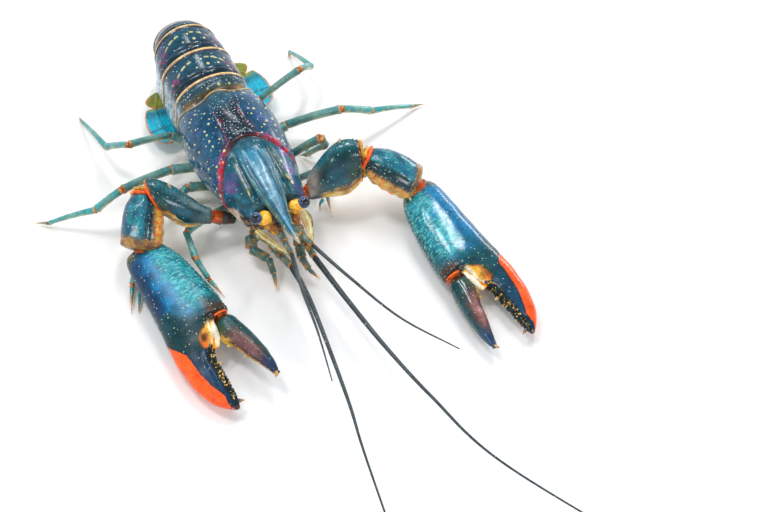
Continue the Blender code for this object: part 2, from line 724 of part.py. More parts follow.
def make_claw(side, pose):
    """The great claw: the palm with its fixed finger, and the movable finger, each with a row of teeth."""
    name = SIDE_NAMES[side]
    ahead, inward, over = claw_axes(side, pose)
    wrist = np.array(pose["claw"])
    breadth = pose["claw_breadth"]
    palm = loft(f"claw_palm_{name}", claw_rings(side, pose, CLAW_STATIONS, 14, 2.3), "claw_blue")
    edges = breadth * through(CLAW_STATIONS, np.array(TOOTH_PLACES))[:, 1]
    roots = [wrist + ahead * a + inward * (e - 0.9) for a, e in zip(TOOTH_PLACES, edges)]
    teeth = [spike(root, inward, 2.2, 1.1, sides=5) for root in roots[:-1]]
    teeth.append(spike(roots[-1] + ahead * 1.6 - inward * 0.6, inward + ahead * 0.5, 4.4, 1.3))
    fuse(palm, teeth)
    rings = claw_rings(side, pose, FINGER_STATIONS, 12, 2.2)
    rings = [ring + finger_move(side, pose, row[0]) for ring, row in zip(rings, FINGER_STATIONS)]
    finger = loft(f"claw_finger_{name}", rings, "claw_blue")
    places = TOOTH_PLACES[:-1]
    edges = breadth * through(FINGER_STATIONS, np.array(places))[:, 0]
    roots = [wrist + ahead * a + inward * (e + 0.9) for a, e in zip(places, edges)]
    roots = [root + finger_move(side, pose, a) for root, a in zip(roots, places)]
    teeth = [spike(root, -inward, 2.1, 1.0, sides=5) for root in roots]
    tip = rings[-2].mean(axis=0)
    teeth.append(spike(tip + inward * 1.0, ahead * 0.8 - inward, 3.6, 1.1))
    fuse(finger, teeth)


def make_cheliped(side, pose):
    """The arm of a great claw: ischium, merus and carpus, then the claw."""
    name = SIDE_NAMES[side]
    hip, knee, merus_end = (np.array(pose[key]) for key in ("hip", "knee", "merus_end"))
    path = line_through([hip, (hip + knee) / 2, knee - unit(knee - hip) * 3.0], 4)
    rings = tube_rings(path, (3.8, 4.8, 5.0, 3.8), (3.6, 4.6, 4.8, 3.4), count=12)
    loft(f"cheliped_ischium_{name}", rings, "joint_orange")
    run = unit(merus_end - knee)
    back = unit(np.cross(UP, run)) * side
    blade = UP * math.cos(MERUS_LEAN) + back * math.sin(MERUS_LEAN)
    path = line_through([knee, (knee + merus_end) / 2 + UP * 0.8, merus_end], 9)
    rings = tube_rings(path, MERUS_HALF_WIDTHS, MERUS_HALF_HEIGHTS, up=blade, count=12, upright=True)
    merus = loft(f"cheliped_merus_{name}", rings, "shell_teal")
    fuse(merus, [spike(path[5] + blade * 10.0, blade + run * 0.5, 3.6, 1.4)])
    start, end = np.array(pose["carpus_start"]), np.array(pose["carpus_end"])
    run = unit(end - start)
    path = line_through([start, (start + end) / 2 + UP * 0.8, end], 9)
    rings = tube_rings(path, CARPUS_HALF_WIDTHS, CARPUS_HALF_HEIGHTS, count=12)
    carpus = loft(f"cheliped_carpus_{name}", rings, "shell_teal")
    inner = unit(np.cross(run, UP)) * side
    spines = [spike(path[k] + inner * 7.4 + UP * 1.0, inner + run * 0.8, 4.2, 1.5) for k in (5, 7)]
    fuse(carpus, spines)
    make_claw(side, pose)


def settle():
    """Moves the whole animal so that its box is centred on the world origin and stands on the ground."""
    bpy.context.view_layer.update()
    graph = bpy.context.evaluated_depsgraph_get()
    corners = []
    for part in animal.objects:
        if part.type == "EMPTY":
            continue
        seen = part.evaluated_get(graph)
        mesh = seen.to_mesh()
        corners += [seen.matrix_world @ v.co for v in mesh.vertices]
        seen.to_mesh_clear()
    corners = np.array(corners)
    low, high = corners.min(axis=0), corners.max(axis=0)
    origin.location = (-(low[0] + high[0]) / 2, -(low[1] + high[1]) / 2, -low[2])


def main():
    make_carapace()
    make_sternum()
    make_abdomen()
    make_tail_fan()
    make_eyes()
    make_feelers()
    make_maxillipeds()
    make_walking_legs()
    for side, pose in CHELIPEDS.items():
        make_cheliped(side, pose)
    settle()


for leftover in list(bpy.data.objects):
    bpy.data.objects.remove(leftover)
animal = bpy.data.collections.new("redclaw_crayfish")
bpy.context.scene.collection.children.link(animal)
origin = bpy.data.objects.new("body_origin", None)
animal.objects.link(origin)
main()
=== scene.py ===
"""A redclaw crayfish dressed for show: shell, tail, claws, limbs and feelers over its packed solids.

The head points along -Y and the animal's left is +X. Shapes are worked out in millimetres in the body
frame, whose origin lies on the ground under the rear margin of the carapace; the packed breast plate says
where that is. Each surface carries its own painted tint and three shares of marking (cream spots, fine
specks, turquoise mottling), which the shell finishes turn into colour and relief.
"""

import math

import bmesh
import bpy
import numpy as np
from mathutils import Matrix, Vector


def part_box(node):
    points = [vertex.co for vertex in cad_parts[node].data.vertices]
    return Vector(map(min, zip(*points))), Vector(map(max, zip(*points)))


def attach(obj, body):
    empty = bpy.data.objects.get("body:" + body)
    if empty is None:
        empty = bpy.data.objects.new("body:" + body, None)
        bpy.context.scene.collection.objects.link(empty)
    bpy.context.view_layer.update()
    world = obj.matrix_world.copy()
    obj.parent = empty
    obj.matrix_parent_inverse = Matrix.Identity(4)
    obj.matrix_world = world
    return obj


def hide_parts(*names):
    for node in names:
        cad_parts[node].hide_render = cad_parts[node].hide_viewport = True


bl_info = {
    "name": "Redclaw crayfish",
    "version": (1, 0, 0),
    "blender": (4, 5, 0),
    "location": "View3D > Sidebar > Crayfish",
    "description": "Builds the detailed shell, limbs and feelers of a redclaw crayfish over its solids",
    "category": "Add Mesh",
}

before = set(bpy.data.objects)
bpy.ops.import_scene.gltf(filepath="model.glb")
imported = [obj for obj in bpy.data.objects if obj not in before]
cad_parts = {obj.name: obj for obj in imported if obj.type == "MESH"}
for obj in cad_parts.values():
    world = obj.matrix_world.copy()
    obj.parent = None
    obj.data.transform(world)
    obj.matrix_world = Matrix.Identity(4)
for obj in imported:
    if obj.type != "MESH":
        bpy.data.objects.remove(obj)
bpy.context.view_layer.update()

MM = 0.001
# How square each section is: 2 is a plain oval, more is squarer
CARAPACE_POWER, ROSTRUM_POWER, BREAST_POWER, BLADE_POWER = 2.2, 3.0, 3.0, 2.6
LIMB_POWER, MERUS_POWER, CARPUS_POWER, PALM_POWER, FINGER_POWER = 2.1, 2.1, 2.15, 2.25, 2.15
RIGHT, LEFT = -1, 1
SIDES = {RIGHT: "right", LEFT: "left"}
UP = np.array((0.0, 0.0, 1.0))
BREAST_REAR, BREAST_FRONT, BREAST_LEVEL = 1.0, -58.0, 7.4


def body_origin():
    """The body frame's origin in the row frame, in metres, from the box of the breast plate."""
    low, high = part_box("sternum")
    middle = (np.array(low) + np.array(high)) / 2
    return middle - np.array((0.0, (BREAST_REAR + BREAST_FRONT) / 2, BREAST_LEVEL)) * MM


ORIGIN = body_origin()

# Carapace: (y, half width), (y, height of the back), (y, height of the lower edge)
CARAPACE_HALF_WIDTH = [
    (3, 19.6), (-4, 21.3), (-14, 22.8), (-24, 22.8), (-34, 21.7), (-44, 19.8), (-54, 17.4), (-62, 15.2),
    (-66, 13.6),
]
CARAPACE_TOP = [(3, 41.2), (-6, 42.8), (-18, 43.6), (-32, 43.6), (-46, 43.0), (-58, 41.2), (-66, 38.6)]
CARAPACE_BOTTOM = [(3, 11.2), (-28, 11.2), (-42, 15.6), (-54, 17.0), (-66, 18.0)]
CARAPACE_REAR, CARAPACE_FRONT = 3.0, -64.6
REAR_LOBE, REAR_NOTCH = 2.2, 3.0
GROOVE_DEPTH, GROOVE_WIDTH, GROOVE_APEX, GROOVE_SWEEP, GROOVE_FALL = 1.3, 1.7, -30.2, 0.047, 0.6

# Rostrum: (y, half width), (y, height of its top), (y, shift to the left), (y, thickness)
ROSTRUM_HALF_WIDTH = [
    (-50, 6.6), (-60, 5.8), (-66, 4.9), (-70, 4.0), (-74, 3.2), (-78, 2.5), (-83, 1.7), (-87, 1.1),
    (-90.5, 0.3),
]
ROSTRUM_TOP = [(-50, 43.2), (-58, 42.0), (-66, 40.4), (-74, 38.9), (-82, 37.8), (-90.5, 37.2)]
ROSTRUM_SWAY = [(-50, 0.0), (-66, -0.2), (-78, -0.6), (-90.5, -0.2)]
ROSTRUM_THICKNESS = [(-50, 5.0), (-66, 4.8), (-80, 2.6), (-90.5, 0.6)]
ROSTRUM_SPINES = (-73.0, -79.0, -84.5)
ROSTRUM_ROOT, ROSTRUM_TIP = -53, -90.5

# Tail: distance along it, half width, then the heights of the back, the widest place, the belly and the
# side plate's tip above the line that it curls about
CURL_START, CURL_HEIGHT, CURL_RADIUS = 40.0, 21.0, 22.0
TAIL_SECTIONS = [
    (-0.8, 14.0, 16.8, 8.0, 4.0, -1.0), (4.2, 15.6, 18.7, 8.0, 4.0, -2.0),
    (5.8, 16.8, 20.8, 8.5, 4.0, -4.5), (10.2, 17.5, 22.1, 8.5, 4.0, -8.0),
    (19.0, 17.8, 22.3, 8.0, 4.5, -13.0), (28.0, 17.3, 22.2, 8.0, 4.5, -10.0),
    (34.0, 17.4, 22.1, 7.0, 4.5, -11.2), (40.0, 16.4, 22.0, 7.0, 4.5, -9.0),
    (46.2, 15.3, 21.8, 8.5, 5.0, 0.8), (54.0, 14.4, 21.8, 9.5, 5.5, 1.4),
    (62.0, 13.8, 21.6, 11.0, 6.0, 3.4), (70.0, 13.6, 21.4, 12.0, 7.0, 3.0),
    (79.0, 13.0, 21.2, 13.5, 8.0, 6.0), (92.0, 12.2, 21.0, 15.0, 9.5, 7.5),
    (107.0, 11.2, 20.2, 16.0, 11.5, 10.5),
]
SEGMENT_ENDS = (-0.8, 10.2, 28.0, 46.2, 62.0, 79.0, 107.0)
TAIL_SWAY = [(0, 0.0), (28, 0.3), (62, 1.4), (107, 2.2)]
PLEURON_FLARE, MARGIN_LIP, HALF_SEGMENT_GAP, FAN_SWAY = 1.07, 0.7, 0.175, 1.9
# Blades of the tail fan: their line from root to tip, half widths along it, and thickness
TELSON_BLADE = ([(0, 40.2, 4.2), (0, 31, 2.8), (0, 21, 2.2), (0, 10.5, 2.0)], (6.6, 7.4, 6.8, 3.6), 2.4)
SIDE_BLADES = {
    "uropod_base": ([(19.4, 40.8, 8.2), (21.6, 37.4, 8.2), (23.3, 34.4, 8.0)], (1.4, 3.8, 4.6), 2.2),
    "uropod_inner": (
        [(12.0, 38.2, 4.8), (14.6, 29.5, 4.6), (17.2, 19.5, 4.4), (18.4, 9.4, 4.2)],
        (3.4, 6.0, 6.8, 3.8),
        1.5,
    ),
    "uropod_outer": (
        [(24.3, 32.8, 7.6), (25.4, 26.5, 7.4), (25.4, 19, 7.0), (24.6, 10.4, 6.8)],
        (4.8, 6.4, 6.8, 4.2),
        1.5,
    ),
}

# Walking legs: their joints from the body outwards, on the animal's right and left
WALKING_LEGS = {
    "walking_leg_1": {
        RIGHT: [
            (-13, -38, 7.5), (-24, -39.4, 7.9), (-37.6, -43.4, 9.3), (-39.2, -58.4, 8.2),
            (-37.6, -69, 4), (-34.5, -78.6, 0.7),
        ],
        LEFT: [
            (13, -38, 7.5), (20, -39, 8.5), (29, -41, 11.0), (32, -45, 8.5), (31, -50.5, 5.5),
            (28.3, -61.5, 0.7),
        ],
    },
    "walking_leg_2": {
        RIGHT: [
            (-13, -25, 7.5), (-27, -20.3, 9.7), (-46, -29, 9.6), (-60.5, -40.5, 4.0), (-70, -55, 2.6),
            (-75.5, -67.5, 0.7),
        ],
        LEFT: [
            (13, -25, 7.5), (24.5, -27.5, 13), (35.8, -37.2, 29.4), (37.4, -37.4, 23), (32.6, -26, 6),
            (30, -21, 0.7),
        ],
    },
    "walking_leg_3": {
        RIGHT: [
            (-13, -12, 7.5), (-31, -8.7, 12), (-57, -17.6, 23.2), (-70.6, -16.2, 14.7), (-92, -4, 2.4),
            (-98, 0.5, 0.6),
        ],
        LEFT: [
            (13, -12, 7.5), (30, -9, 11.5), (54, -22, 24), (69.5, -22.5, 14.5), (93.5, -20.5, 2.4),
            (101, -21, 0.6),
        ],
    },
    "walking_leg_4": {
        RIGHT: [
            (-13, 0, 7.5), (-23.5, 8.6, 14.5), (-45, 2.5, 27), (-53.4, 16, 15), (-56.8, 47, 2.2),
            (-57, 52, 0.6),
        ],
        LEFT: [
            (13, 0, 7.5), (24.5, 9, 15), (46, 7.5, 27), (55, 15, 17), (54.5, 41, 2.2), (52.5, 38, 0.6),
        ],
    },
}
LEG_RADII = {
    "walking_leg_1": (2.2, 1.9, 1.65, 1.6, 1.15, 0.4),
    "walking_leg_2": (2.4, 2.2, 2.1, 1.9, 1.3, 0.45),
    "walking_leg_3": (2.5, 2.35, 2.0, 1.8, 0.95, 0.4),
    "walking_leg_4": (2.3, 1.9, 1.75, 1.7, 0.85, 0.4),
}
# The movable fingers of the small claws, from root to tip
SMALL_FINGERS = {
    "walking_leg_1": {
        RIGHT: [(-39.4, -70.4, 3.6), (-39.0, -74.4, 2.4), (-37.2, -77.6, 1.0)],
        LEFT: [(28.2, -52.6, 4.6), (26.2, -53.4, 3.0), (25.0, -55.2, 1.0)],
    },
    "walking_leg_2": {
        RIGHT: [(-68.0, -58.4, 2.8), (-70.0, -63.6, 2.0), (-72.4, -68.6, 0.9)],
        LEFT: [(34.2, -23.0, 5.0), (33.8, -21.2, 3.0), (32.8, -19.6, 1.0)],
    },
}

# Great claws and their arms
CHELIPEDS = {
    RIGHT: {
        "hip": (-15.0, -51.0, 10.6), "knee": (-24.5, -46.4, 17.0), "merus_end": (-43.8, -35.0, 26.2),
        "carpus_start": (-50.4, -30.0, 26.6), "carpus_end": (-59.6, -43.8, 18.8),
        "claw": (-58.5, -47.6, 11.5), "claw_bearing": 6.2, "claw_breadth": 1.0, "claw_roll": 6.0,
        "finger_lift": 3.0, "finger_swing": 0.0,
    },
    LEFT: {
        "hip": (14.5, -52.5, 10.6), "knee": (22.2, -52.9, 17.5), "merus_end": (47.6, -56.2, 27.4),
        "carpus_start": (51.0, -58.2, 26.8), "carpus_end": (65.4, -72.6, 19.0),
        "claw": (66.8, -74.2, 10.7), "claw_bearing": 5.0, "claw_breadth": 0.94, "claw_roll": 0.0,
        "finger_lift": 0.5, "finger_swing": 2.2,
    },
}
MERUS_LEAN = math.radians(24)
MERUS_HALF_WIDTHS = (3.6, 4.6, 5.6, 6.4, 6.9, 7.2, 7.3, 7.0, 6.0)
# The second joint's lift and half height at even steps, its reach before the knee and beyond its end, and
# how far its upper corner leans out beyond the lower one
MERUS_SHAPES = {
    RIGHT: {
        "lift": (0.4, -0.2, -0.4, -0.8, -0.6, 0.5, 1.4, 2.1, 2.4),
        "high": (3.5, 3.9, 5.0, 6.7, 8.0, 8.6, 8.9, 8.6, 7.6), "reach": (0.0, 3.0), "slant": 4.6,
    },
    LEFT: {
        "lift": (-0.6, 0.5, 0.9, 1.3, 1.3, 1.1, 0.9, 0.8, 0.6),
        "high": (4.2, 7.2, 8.9, 10.8, 12.4, 13.4, 13.0, 11.4, 9.4), "reach": (2.0, 0.0), "slant": 0.6,
    },
}
# How far the third joint's start and end lie from its solid's
CARPUS_SHIFT = {RIGHT: ((2.2, 2.3, 1.6), (-1.6, -4.6, -2.2)), LEFT: ((-2.4, 2.2, 1.0), (2.1, -2.1, -1.0))}
CARPUS_HALF_WIDTHS = (4.4, 6.6, 7.9, 8.6, 9.0, 9.2, 9.2, 9.0, 7.8)
CARPUS_HALF_HEIGHTS = (4.6, 6.8, 8.0, 8.6, 8.8, 8.6, 8.1, 7.2, 5.4)
CLAW_PITCH = -2.6
# Claw: (distance from the wrist, outer edge, inner edge, half thickness); the outer edge is negative
PALM_STATIONS = [
    (-2.6, -7.4, 4.6, 4.0), (-1.6, -9.0, 6.4, 5.4), (0.0, -10.1, 8.0, 6.6), (4.0, -11.1, 10.0, 7.8),
    (9.0, -11.7, 11.6, 8.5), (20.0, -12.4, 13.8, 9.0), (34.0, -13.4, 15.6, 8.9),
    (42.0, -14.3, 16.0, 8.4), (46.0, -14.9, 15.6, 7.9), (47.0, -15.0, 14.6, 7.6),
]
FIXED_FINGER_STATIONS = [
    (47.5, -14.9, 6.8, 7.4), (52.0, -15.4, 5.8, 7.0), (56.0, -15.7, 4.8, 6.5), (59.0, -15.7, 1.9, 6.1),
    (63.0, -15.5, 0.2, 5.6), (70.0, -14.9, -0.3, 4.9), (76.0, -13.4, -0.8, 4.2),
    (81.0, -11.4, -1.2, 3.4), (85.0, -8.6, -1.7, 2.4), (87.6, -6.0, -2.4, 1.3), (88.8, -4.6, -3.0, 0.5),
]
# Movable finger in the claw's frame: (distance, inner edge, outer edge, half thickness)
FINGER_STATIONS = [
    (48.4, 8.4, 15.0, 3.6), (50.0, 7.2, 16.4, 5.0), (54.0, 6.3, 17.6, 5.6), (57.0, 5.9, 18.4, 5.5),
    (60.0, 7.1, 19.0, 5.3), (62.5, 8.6, 19.4, 5.1), (66.0, 10.1, 19.9, 4.8), (70.0, 11.4, 20.3, 4.4),
    (74.0, 12.7, 20.5, 3.9), (78.0, 14.3, 20.5, 3.2), (82.0, 15.7, 20.0, 2.4), (85.0, 16.7, 19.2, 1.4),
    (86.4, 17.2, 18.4, 0.5),
]
TOOTH_PLACES = (61.5, 66.0, 70.5, 75.0, 79.5, 83.5)

# Eyes: the stalk's root, its tip, and the ball's centre
EYES = {
    RIGHT: ((-5.0, -69.0, 33.0), (-8.9, -69.7, 34.9), (-11.4, -69.7, 37.1)),
    LEFT: ((4.6, -69.7, 33.2), (8.2, -70.5, 34.9), (10.9, -71.5, 36.8)),
}
EYE_RADIUS = 2.75

# Feelers: points from the root to the tip
ANTENNA_LINES = {
    RIGHT: [
        (-4.4, -89.0, 18.5), (-4.6, -103, 19.4), (-6.4, -121, 20), (-11.6, -159, 18), (-16, -183, 15),
        (-23.7, -236, 7),
    ],
    LEFT: [
        (6.9, -89.2, 18.5), (9.2, -114, 20), (13.4, -144, 20), (20.2, -174, 18), (31.8, -211, 15),
        (67, -270, 7),
    ],
}
ANTENNULE_LINES = {
    RIGHT: [(-4.0, -89.4, 29.5), (-8, -109, 30), (-10.6, -128.9, 28), (-15, -151.6, 25)],
    LEFT: [(6.3, -89.6, 29.5), (13, -112, 30), (23.6, -139, 28), (39.6, -162.7, 25)],
}
MAXILLIPED_LINES = {
    RIGHT: [
        (-8.6, -60.5, 9.8), (-12.4, -60.8, 10.5), (-14.8, -66.2, 9.6), (-9.4, -73.2, 7.0),
        (-10.2, -80.0, 4.0), (-12.2, -87.2, 2.0),
    ],
    LEFT: [
        (7.6, -60.5, 10.4), (8.2, -68.5, 10.8), (5.4, -75.0, 9.4), (4.0, -80.5, 8.0), (5.0, -86.0, 5.2),
        (7.4, -91.6, 3.6),
    ],
}
MAXILLIPED_RADII = (2.5, 3.25, 2.464, 1.89, 1.2, 0.36)


# ---- Curves, shares and small sums ------------------------------------------------------------------


def through(knots, places):
    """Values at the places of a smooth curve through the knots, each (place, value, ...)."""
    table = np.array(knots, float)
    table = table[np.argsort(table[:, 0])]
    x, y = table[:, 0], table[:, 1:]
    slopes = np.gradient(y, x, axis=0)
    at = np.clip(places, x[0], x[-1])
    i = np.clip(np.searchsorted(x, at, side="right") - 1, 0, len(x) - 2)
    step = (x[i + 1] - x[i])[..., None]
    t = (at - x[i])[..., None] / step
    return (
        y[i] * (1 + 2 * t) * (1 - t) ** 2
        + slopes[i] * step * t * (1 - t) ** 2
        + y[i + 1] * t * t * (3 - 2 * t)
        + slopes[i + 1] * step * t * t * (t - 1)
    )


def level_through(knots, places):
    """One value at each place, by the same smooth curve."""
    return through(knots, np.asarray(places, float))[..., 0]


def even_steps(values, shares):
    """One value at each share of a length, from values given at even steps along it."""
    return level_through(list(zip(np.linspace(0, 1, len(values)), values)), shares)


def line_through(points, count):
    """count points, evenly numbered along a smooth line through the points."""
    numbered = [(i, *point) for i, point in enumerate(points)]
    return through(numbered, np.linspace(0, len(points) - 1, count))


def unit(v):
    return v / np.linalg.norm(v, axis=-1, keepdims=True)


def step_up(low, high, value):
    """0 at low and 1 at high, smooth between; low may be the larger."""
    t = np.clip((np.asarray(value, float) - low) / (high - low), 0, 1)
    return t * t * (3 - 2 * t)


def bell(distance, width):
    return np.exp(-((distance / width) ** 2))


def mix(first, second, share):
    """One tint passing into another; the share may be a number for each point."""
    first, second = np.asarray(first, float), np.asarray(second, float)
    share = np.clip(np.asarray(share, float), 0, 1)[..., None]
    return first + (second - first) * share


def layered(tint, *layers):
    """A tint under further layers, each of them (tint, share that it covers)."""
    for layer, share in layers:
        tint = mix(tint, layer, share)
    return tint


def ripple(points, size, seed, waves=12):
    """An uneven smooth field from about -1 to 1 over points, with swells of about that size."""
    draw = np.random.default_rng(seed)
    heading = unit(draw.normal(size=(waves, 3)))
    lengths = size * draw.uniform(0.7, 1.6, waves)
    phase = draw.uniform(0, 2 * math.pi, waves)
    turns = np.asarray(points) @ (2 * math.pi * heading / lengths[:, None]).T + phase
    return np.sin(turns).sum(axis=-1) / math.sqrt(waves)


def oval(count, power):
    """Sideways and upward shares of the points of a rounded oval; a power above 2 makes it squarer."""
    turns = np.linspace(0, 2 * math.pi, count, endpoint=False)
    c, s = np.cos(turns), np.sin(turns)
    return np.sign(c) * abs(c) ** (2 / power), np.sign(s) * abs(s) ** (2 / power)


def across_line(line, up=UP):
    """Sideways and upward unit vectors at each point of a line, kept as near to up as its run allows."""
    ahead = unit(np.gradient(line, axis=0))
    side = unit(np.cross(ahead, up))
    return side, np.cross(side, ahead)


def same_frame(line, side, over):
    """The same sideways and upward vectors at every point of a line."""
    return np.broadcast_to(side, line.shape), np.broadcast_to(over, line.shape)


def carried_frame(line):
    """Sideways and upward vectors carried along a line without twist, for limbs that may run upright."""
    ahead = unit(np.gradient(line, axis=0))
    start = np.cross(ahead[0], UP)
    if np.linalg.norm(start) < 0.2:
        start = np.cross(ahead[0], (0.0, 1.0, 0.0))
    sides = [start / np.linalg.norm(start)]
    for run in ahead[1:]:
        kept = sides[-1] - run * (sides[-1] @ run)
        sides.append(kept / np.linalg.norm(kept))
    side = np.array(sides)
    over = np.cross(side, ahead)
    return side, over


def rings_along(line, wide, high, vectors, around=24, power=2.2):
    """Ovals across a line: wide along its sideways vector and high along its upward one."""
    side, over = vectors
    across, upward = oval(around, power)
    wide, high = np.broadcast_to(wide, len(line)), np.broadcast_to(high, len(line))
    return (
        line[:, None, :]
        + (wide[:, None] * across)[:, :, None] * side[:, None, :]
        + (high[:, None] * upward)[:, :, None] * over[:, None, :]
    )


def by_ring(values, rings):
    """One value for each ring, given to all of its points."""
    return np.broadcast_to(values[:, None], rings.shape[:2])


def by_turn(values, rings):
    """One value for each place round a ring, given to every ring."""
    return np.broadcast_to(values, rings.shape[:2])


def outward_from(line, rings):
    """Unit vectors from the middle of each ring to its points."""
    return unit(rings - line[:, None, :] + 1e-9)


def raised(rings, outward, height):
    """Rings with each point moved outward by its height."""
    return rings + outward * height[..., None]


def rounded_ends(distance, length, radius):
    """Share of the full radius near the ends of a solid of that length, so that both are domes."""
    inside = np.clip(np.minimum(distance, length - distance) / radius, 0, 1)
    return np.sqrt(np.clip(1 - (1 - inside) ** 2, 0.0004, 1))


# How far each patch of a piece shifts its markings, so that no two patches are marked alike
PATCH_SHIFT = 7.3


class Skin:
    """One piece in the making: painted patches of closed surface, in millimetres in the body frame."""

    def __init__(self):
        self.points, self.faces, self.tints, self.marks, self.lays, self.count = [], [], [], [], [], 0

    def rings(self, rings, tint, marks=(0, 0, 0), top=None):
        """A closed surface through rings of as many points each, with a flat face on both ends.

        The markings lie on it by distance along its top line and distance round from that line."""
        rows, around = rings.shape[:2]
        size = rows * around
        top = around // 4 if top is None else top
        run = np.linalg.norm(np.diff(rings[:, top], axis=0), axis=1)
        run = np.concatenate([[0.0], np.cumsum(run)]) + PATCH_SHIFT * len(self.points)
        gaps = np.linalg.norm(np.roll(rings, -1, axis=1) - rings, axis=-1)
        arc = np.cumsum(gaps, axis=1) - gaps
        arc -= arc[:, top : top + 1]
        turned = (top + around // 2) % around
        if turned > top:
            arc[:, turned:] -= gaps.sum(axis=1, keepdims=True)
        else:
            arc[:, :turned] += gaps.sum(axis=1, keepdims=True)
        lay = np.stack([np.broadcast_to(run[:, None], arc.shape), arc, 0 * arc], -1)
        i, j = np.meshgrid(np.arange(rows - 1), np.arange(around), indexing="ij")
        k = (j + 1) % around
        quads = np.stack([i * around + j, i * around + k, (i + 1) * around + k, (i + 1) * around + j], -1)
        faces = quads.reshape(-1, 4).tolist()
        faces.append(list(range(around))[::-1])
        faces.append(list(range((rows - 1) * around, rows * around)))
        self.points.append(rings.reshape(-1, 3))
        self.faces += [[corner + self.count for corner in face] for face in faces]
        for kept, value in ((self.tints, tint), (self.marks, marks), (self.lays, lay)):
            kept.append(np.broadcast_to(np.asarray(value, float).reshape(-1, 3), (size, 3)))
        self.count += size

    def thorn(self, root, run, length, radius, tint, tip_tint=None, bend=(0, 0, 0), around=8):
        """A pointed spine, tooth or hair from a root, bending by that much at its tip."""
        shares = np.array((0.0, 0.3, 0.6, 0.85, 1.0))
        run = unit(np.asarray(run, float))
        line = root + np.outer(shares * length, run) + np.outer(shares**2, bend)
        widths = radius * np.array((1.0, 0.8, 0.5, 0.24, 0.04))
        rings = rings_along(line, widths, widths, carried_frame(line), around, 2.0)
        tip_tint = tint if tip_tint is None else tip_tint
        self.rings(rings, np.repeat(mix(tint, tip_tint, shares**2)[:, None, :], around, axis=1))

    def bristle(self, root, run, length, width, tint, bend=(0, 0, 0)):
        """One stiff hair, three-sided and pointed."""
        shares = np.array((0.0, 0.55, 1.0))
        run = unit(np.asarray(run, float))
        line = root + np.outer(shares * length, run) + np.outer(shares**2, bend)
        widths = width * np.array((1.0, 0.6, 0.08))
        self.rings(rings_along(line, widths, widths, carried_frame(line), 3, 2.0), tint)

    def finish(self, name, finish, slot, nodes=()):
        """Makes the piece, in metres in the row frame, riding on the body and standing for its nodes."""
        mesh = bpy.data.meshes.new(name)
        placed = np.concatenate(self.points) * MM + ORIGIN
        mesh.from_pydata(placed.tolist(), [], self.faces)
        shell = bmesh.new()
        shell.from_mesh(mesh)
        bmesh.ops.recalc_face_normals(shell, faces=shell.faces)
        shell.to_mesh(mesh)
        shell.free()
        tints = np.concatenate(self.tints)
        tint = mesh.attributes.new("tint", "FLOAT_COLOR", "POINT")
        tint.data.foreach_set("color", np.hstack([tints, np.ones((len(tints), 1))]).astype("f").ravel())
        for field, values in (("marks", self.marks), ("lay", self.lays)):
            made = mesh.attributes.new(field, "FLOAT_VECTOR", "POINT")
            made.data.foreach_set("vector", np.concatenate(values).astype("f").ravel())
        mesh.shade_smooth()
        made = bpy.data.objects.new(name, mesh)
        made.data.materials.append(finish)
        bpy.context.scene.collection.objects.link(made)
        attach(made, "root")
        if nodes:
            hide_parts(*nodes)
        return made


# ---- Finishes ---------------------------------------------------------------------------------------


def node(tree, kind, sockets, **settings):
    """A node with those settings, its sockets set to a value or joined to another node's output."""
    made = tree.nodes.new(kind)
    for setting, value in settings.items():
        setattr(made, setting, value)
    for socket, value in sockets.items():
        if isinstance(value, bpy.types.NodeSocket):
            tree.links.new(value, made.inputs[socket])
        else:
            made.inputs[socket].default_value = value
    return made


def rise(tree, value, low, high, to_low=0.0, to_high=1.0):
    """A value eased from to_low at low to to_high at high."""
    sockets = {"Value": value, "From Min": low, "From Max": high, "To Min": to_low, "To Max": to_high}
    return node(tree, "ShaderNodeMapRange", sockets, interpolation_type="SMOOTHSTEP").outputs["Result"]


def maths(tree, operation, first, second):
    return node(tree, "ShaderNodeMath", {0: first, 1: second}, operation=operation).outputs[0]


def blended(tree, share, first, second):
    """Two colours mixed by a share."""
    sockets = {0: share, 6: first, 7: second}
    return node(tree, "ShaderNodeMix", sockets, data_type="RGBA").outputs[2]


def dots(tree, place, gap, smallest, largest, amount):
    """Round dots of uneven size about a gap apart; the amount is the share of places that have one."""
    sockets = {"Vector": place, "Scale": 1 / gap, "Randomness": 1.0}
    cells = node(tree, "ShaderNodeTexVoronoi", sockets, voronoi_dimensions="2D")
    chance = node(tree, "ShaderNodeSeparateColor", {"Color": cells.outputs["Color"]})
    radius = rise(tree, chance.outputs["Green"], 0.0, 1.0, smallest / gap, largest / gap)
    edge = maths(tree, "MULTIPLY", radius, 0.45)
    round_dot = rise(tree, cells.outputs["Distance"], radius, edge)
    present = maths(tree, "LESS_THAN", chance.outputs["Red"], amount)
    return maths(tree, "MULTIPLY", round_dot, present)


# How often in a millimetre each pattern of the shell repeats
CLOUD_RATE, DUST_RATE, FLECK_RATE, PIT_RATE = 0.22, 1.3, 0.62, 1.35
# How far the relief stands out, and how deep light sinks in, both in metres
RELIEF_REACH, LIGHT_REACH = 0.1 * MM, (1.2 * MM, 0.7 * MM, 0.4 * MM)


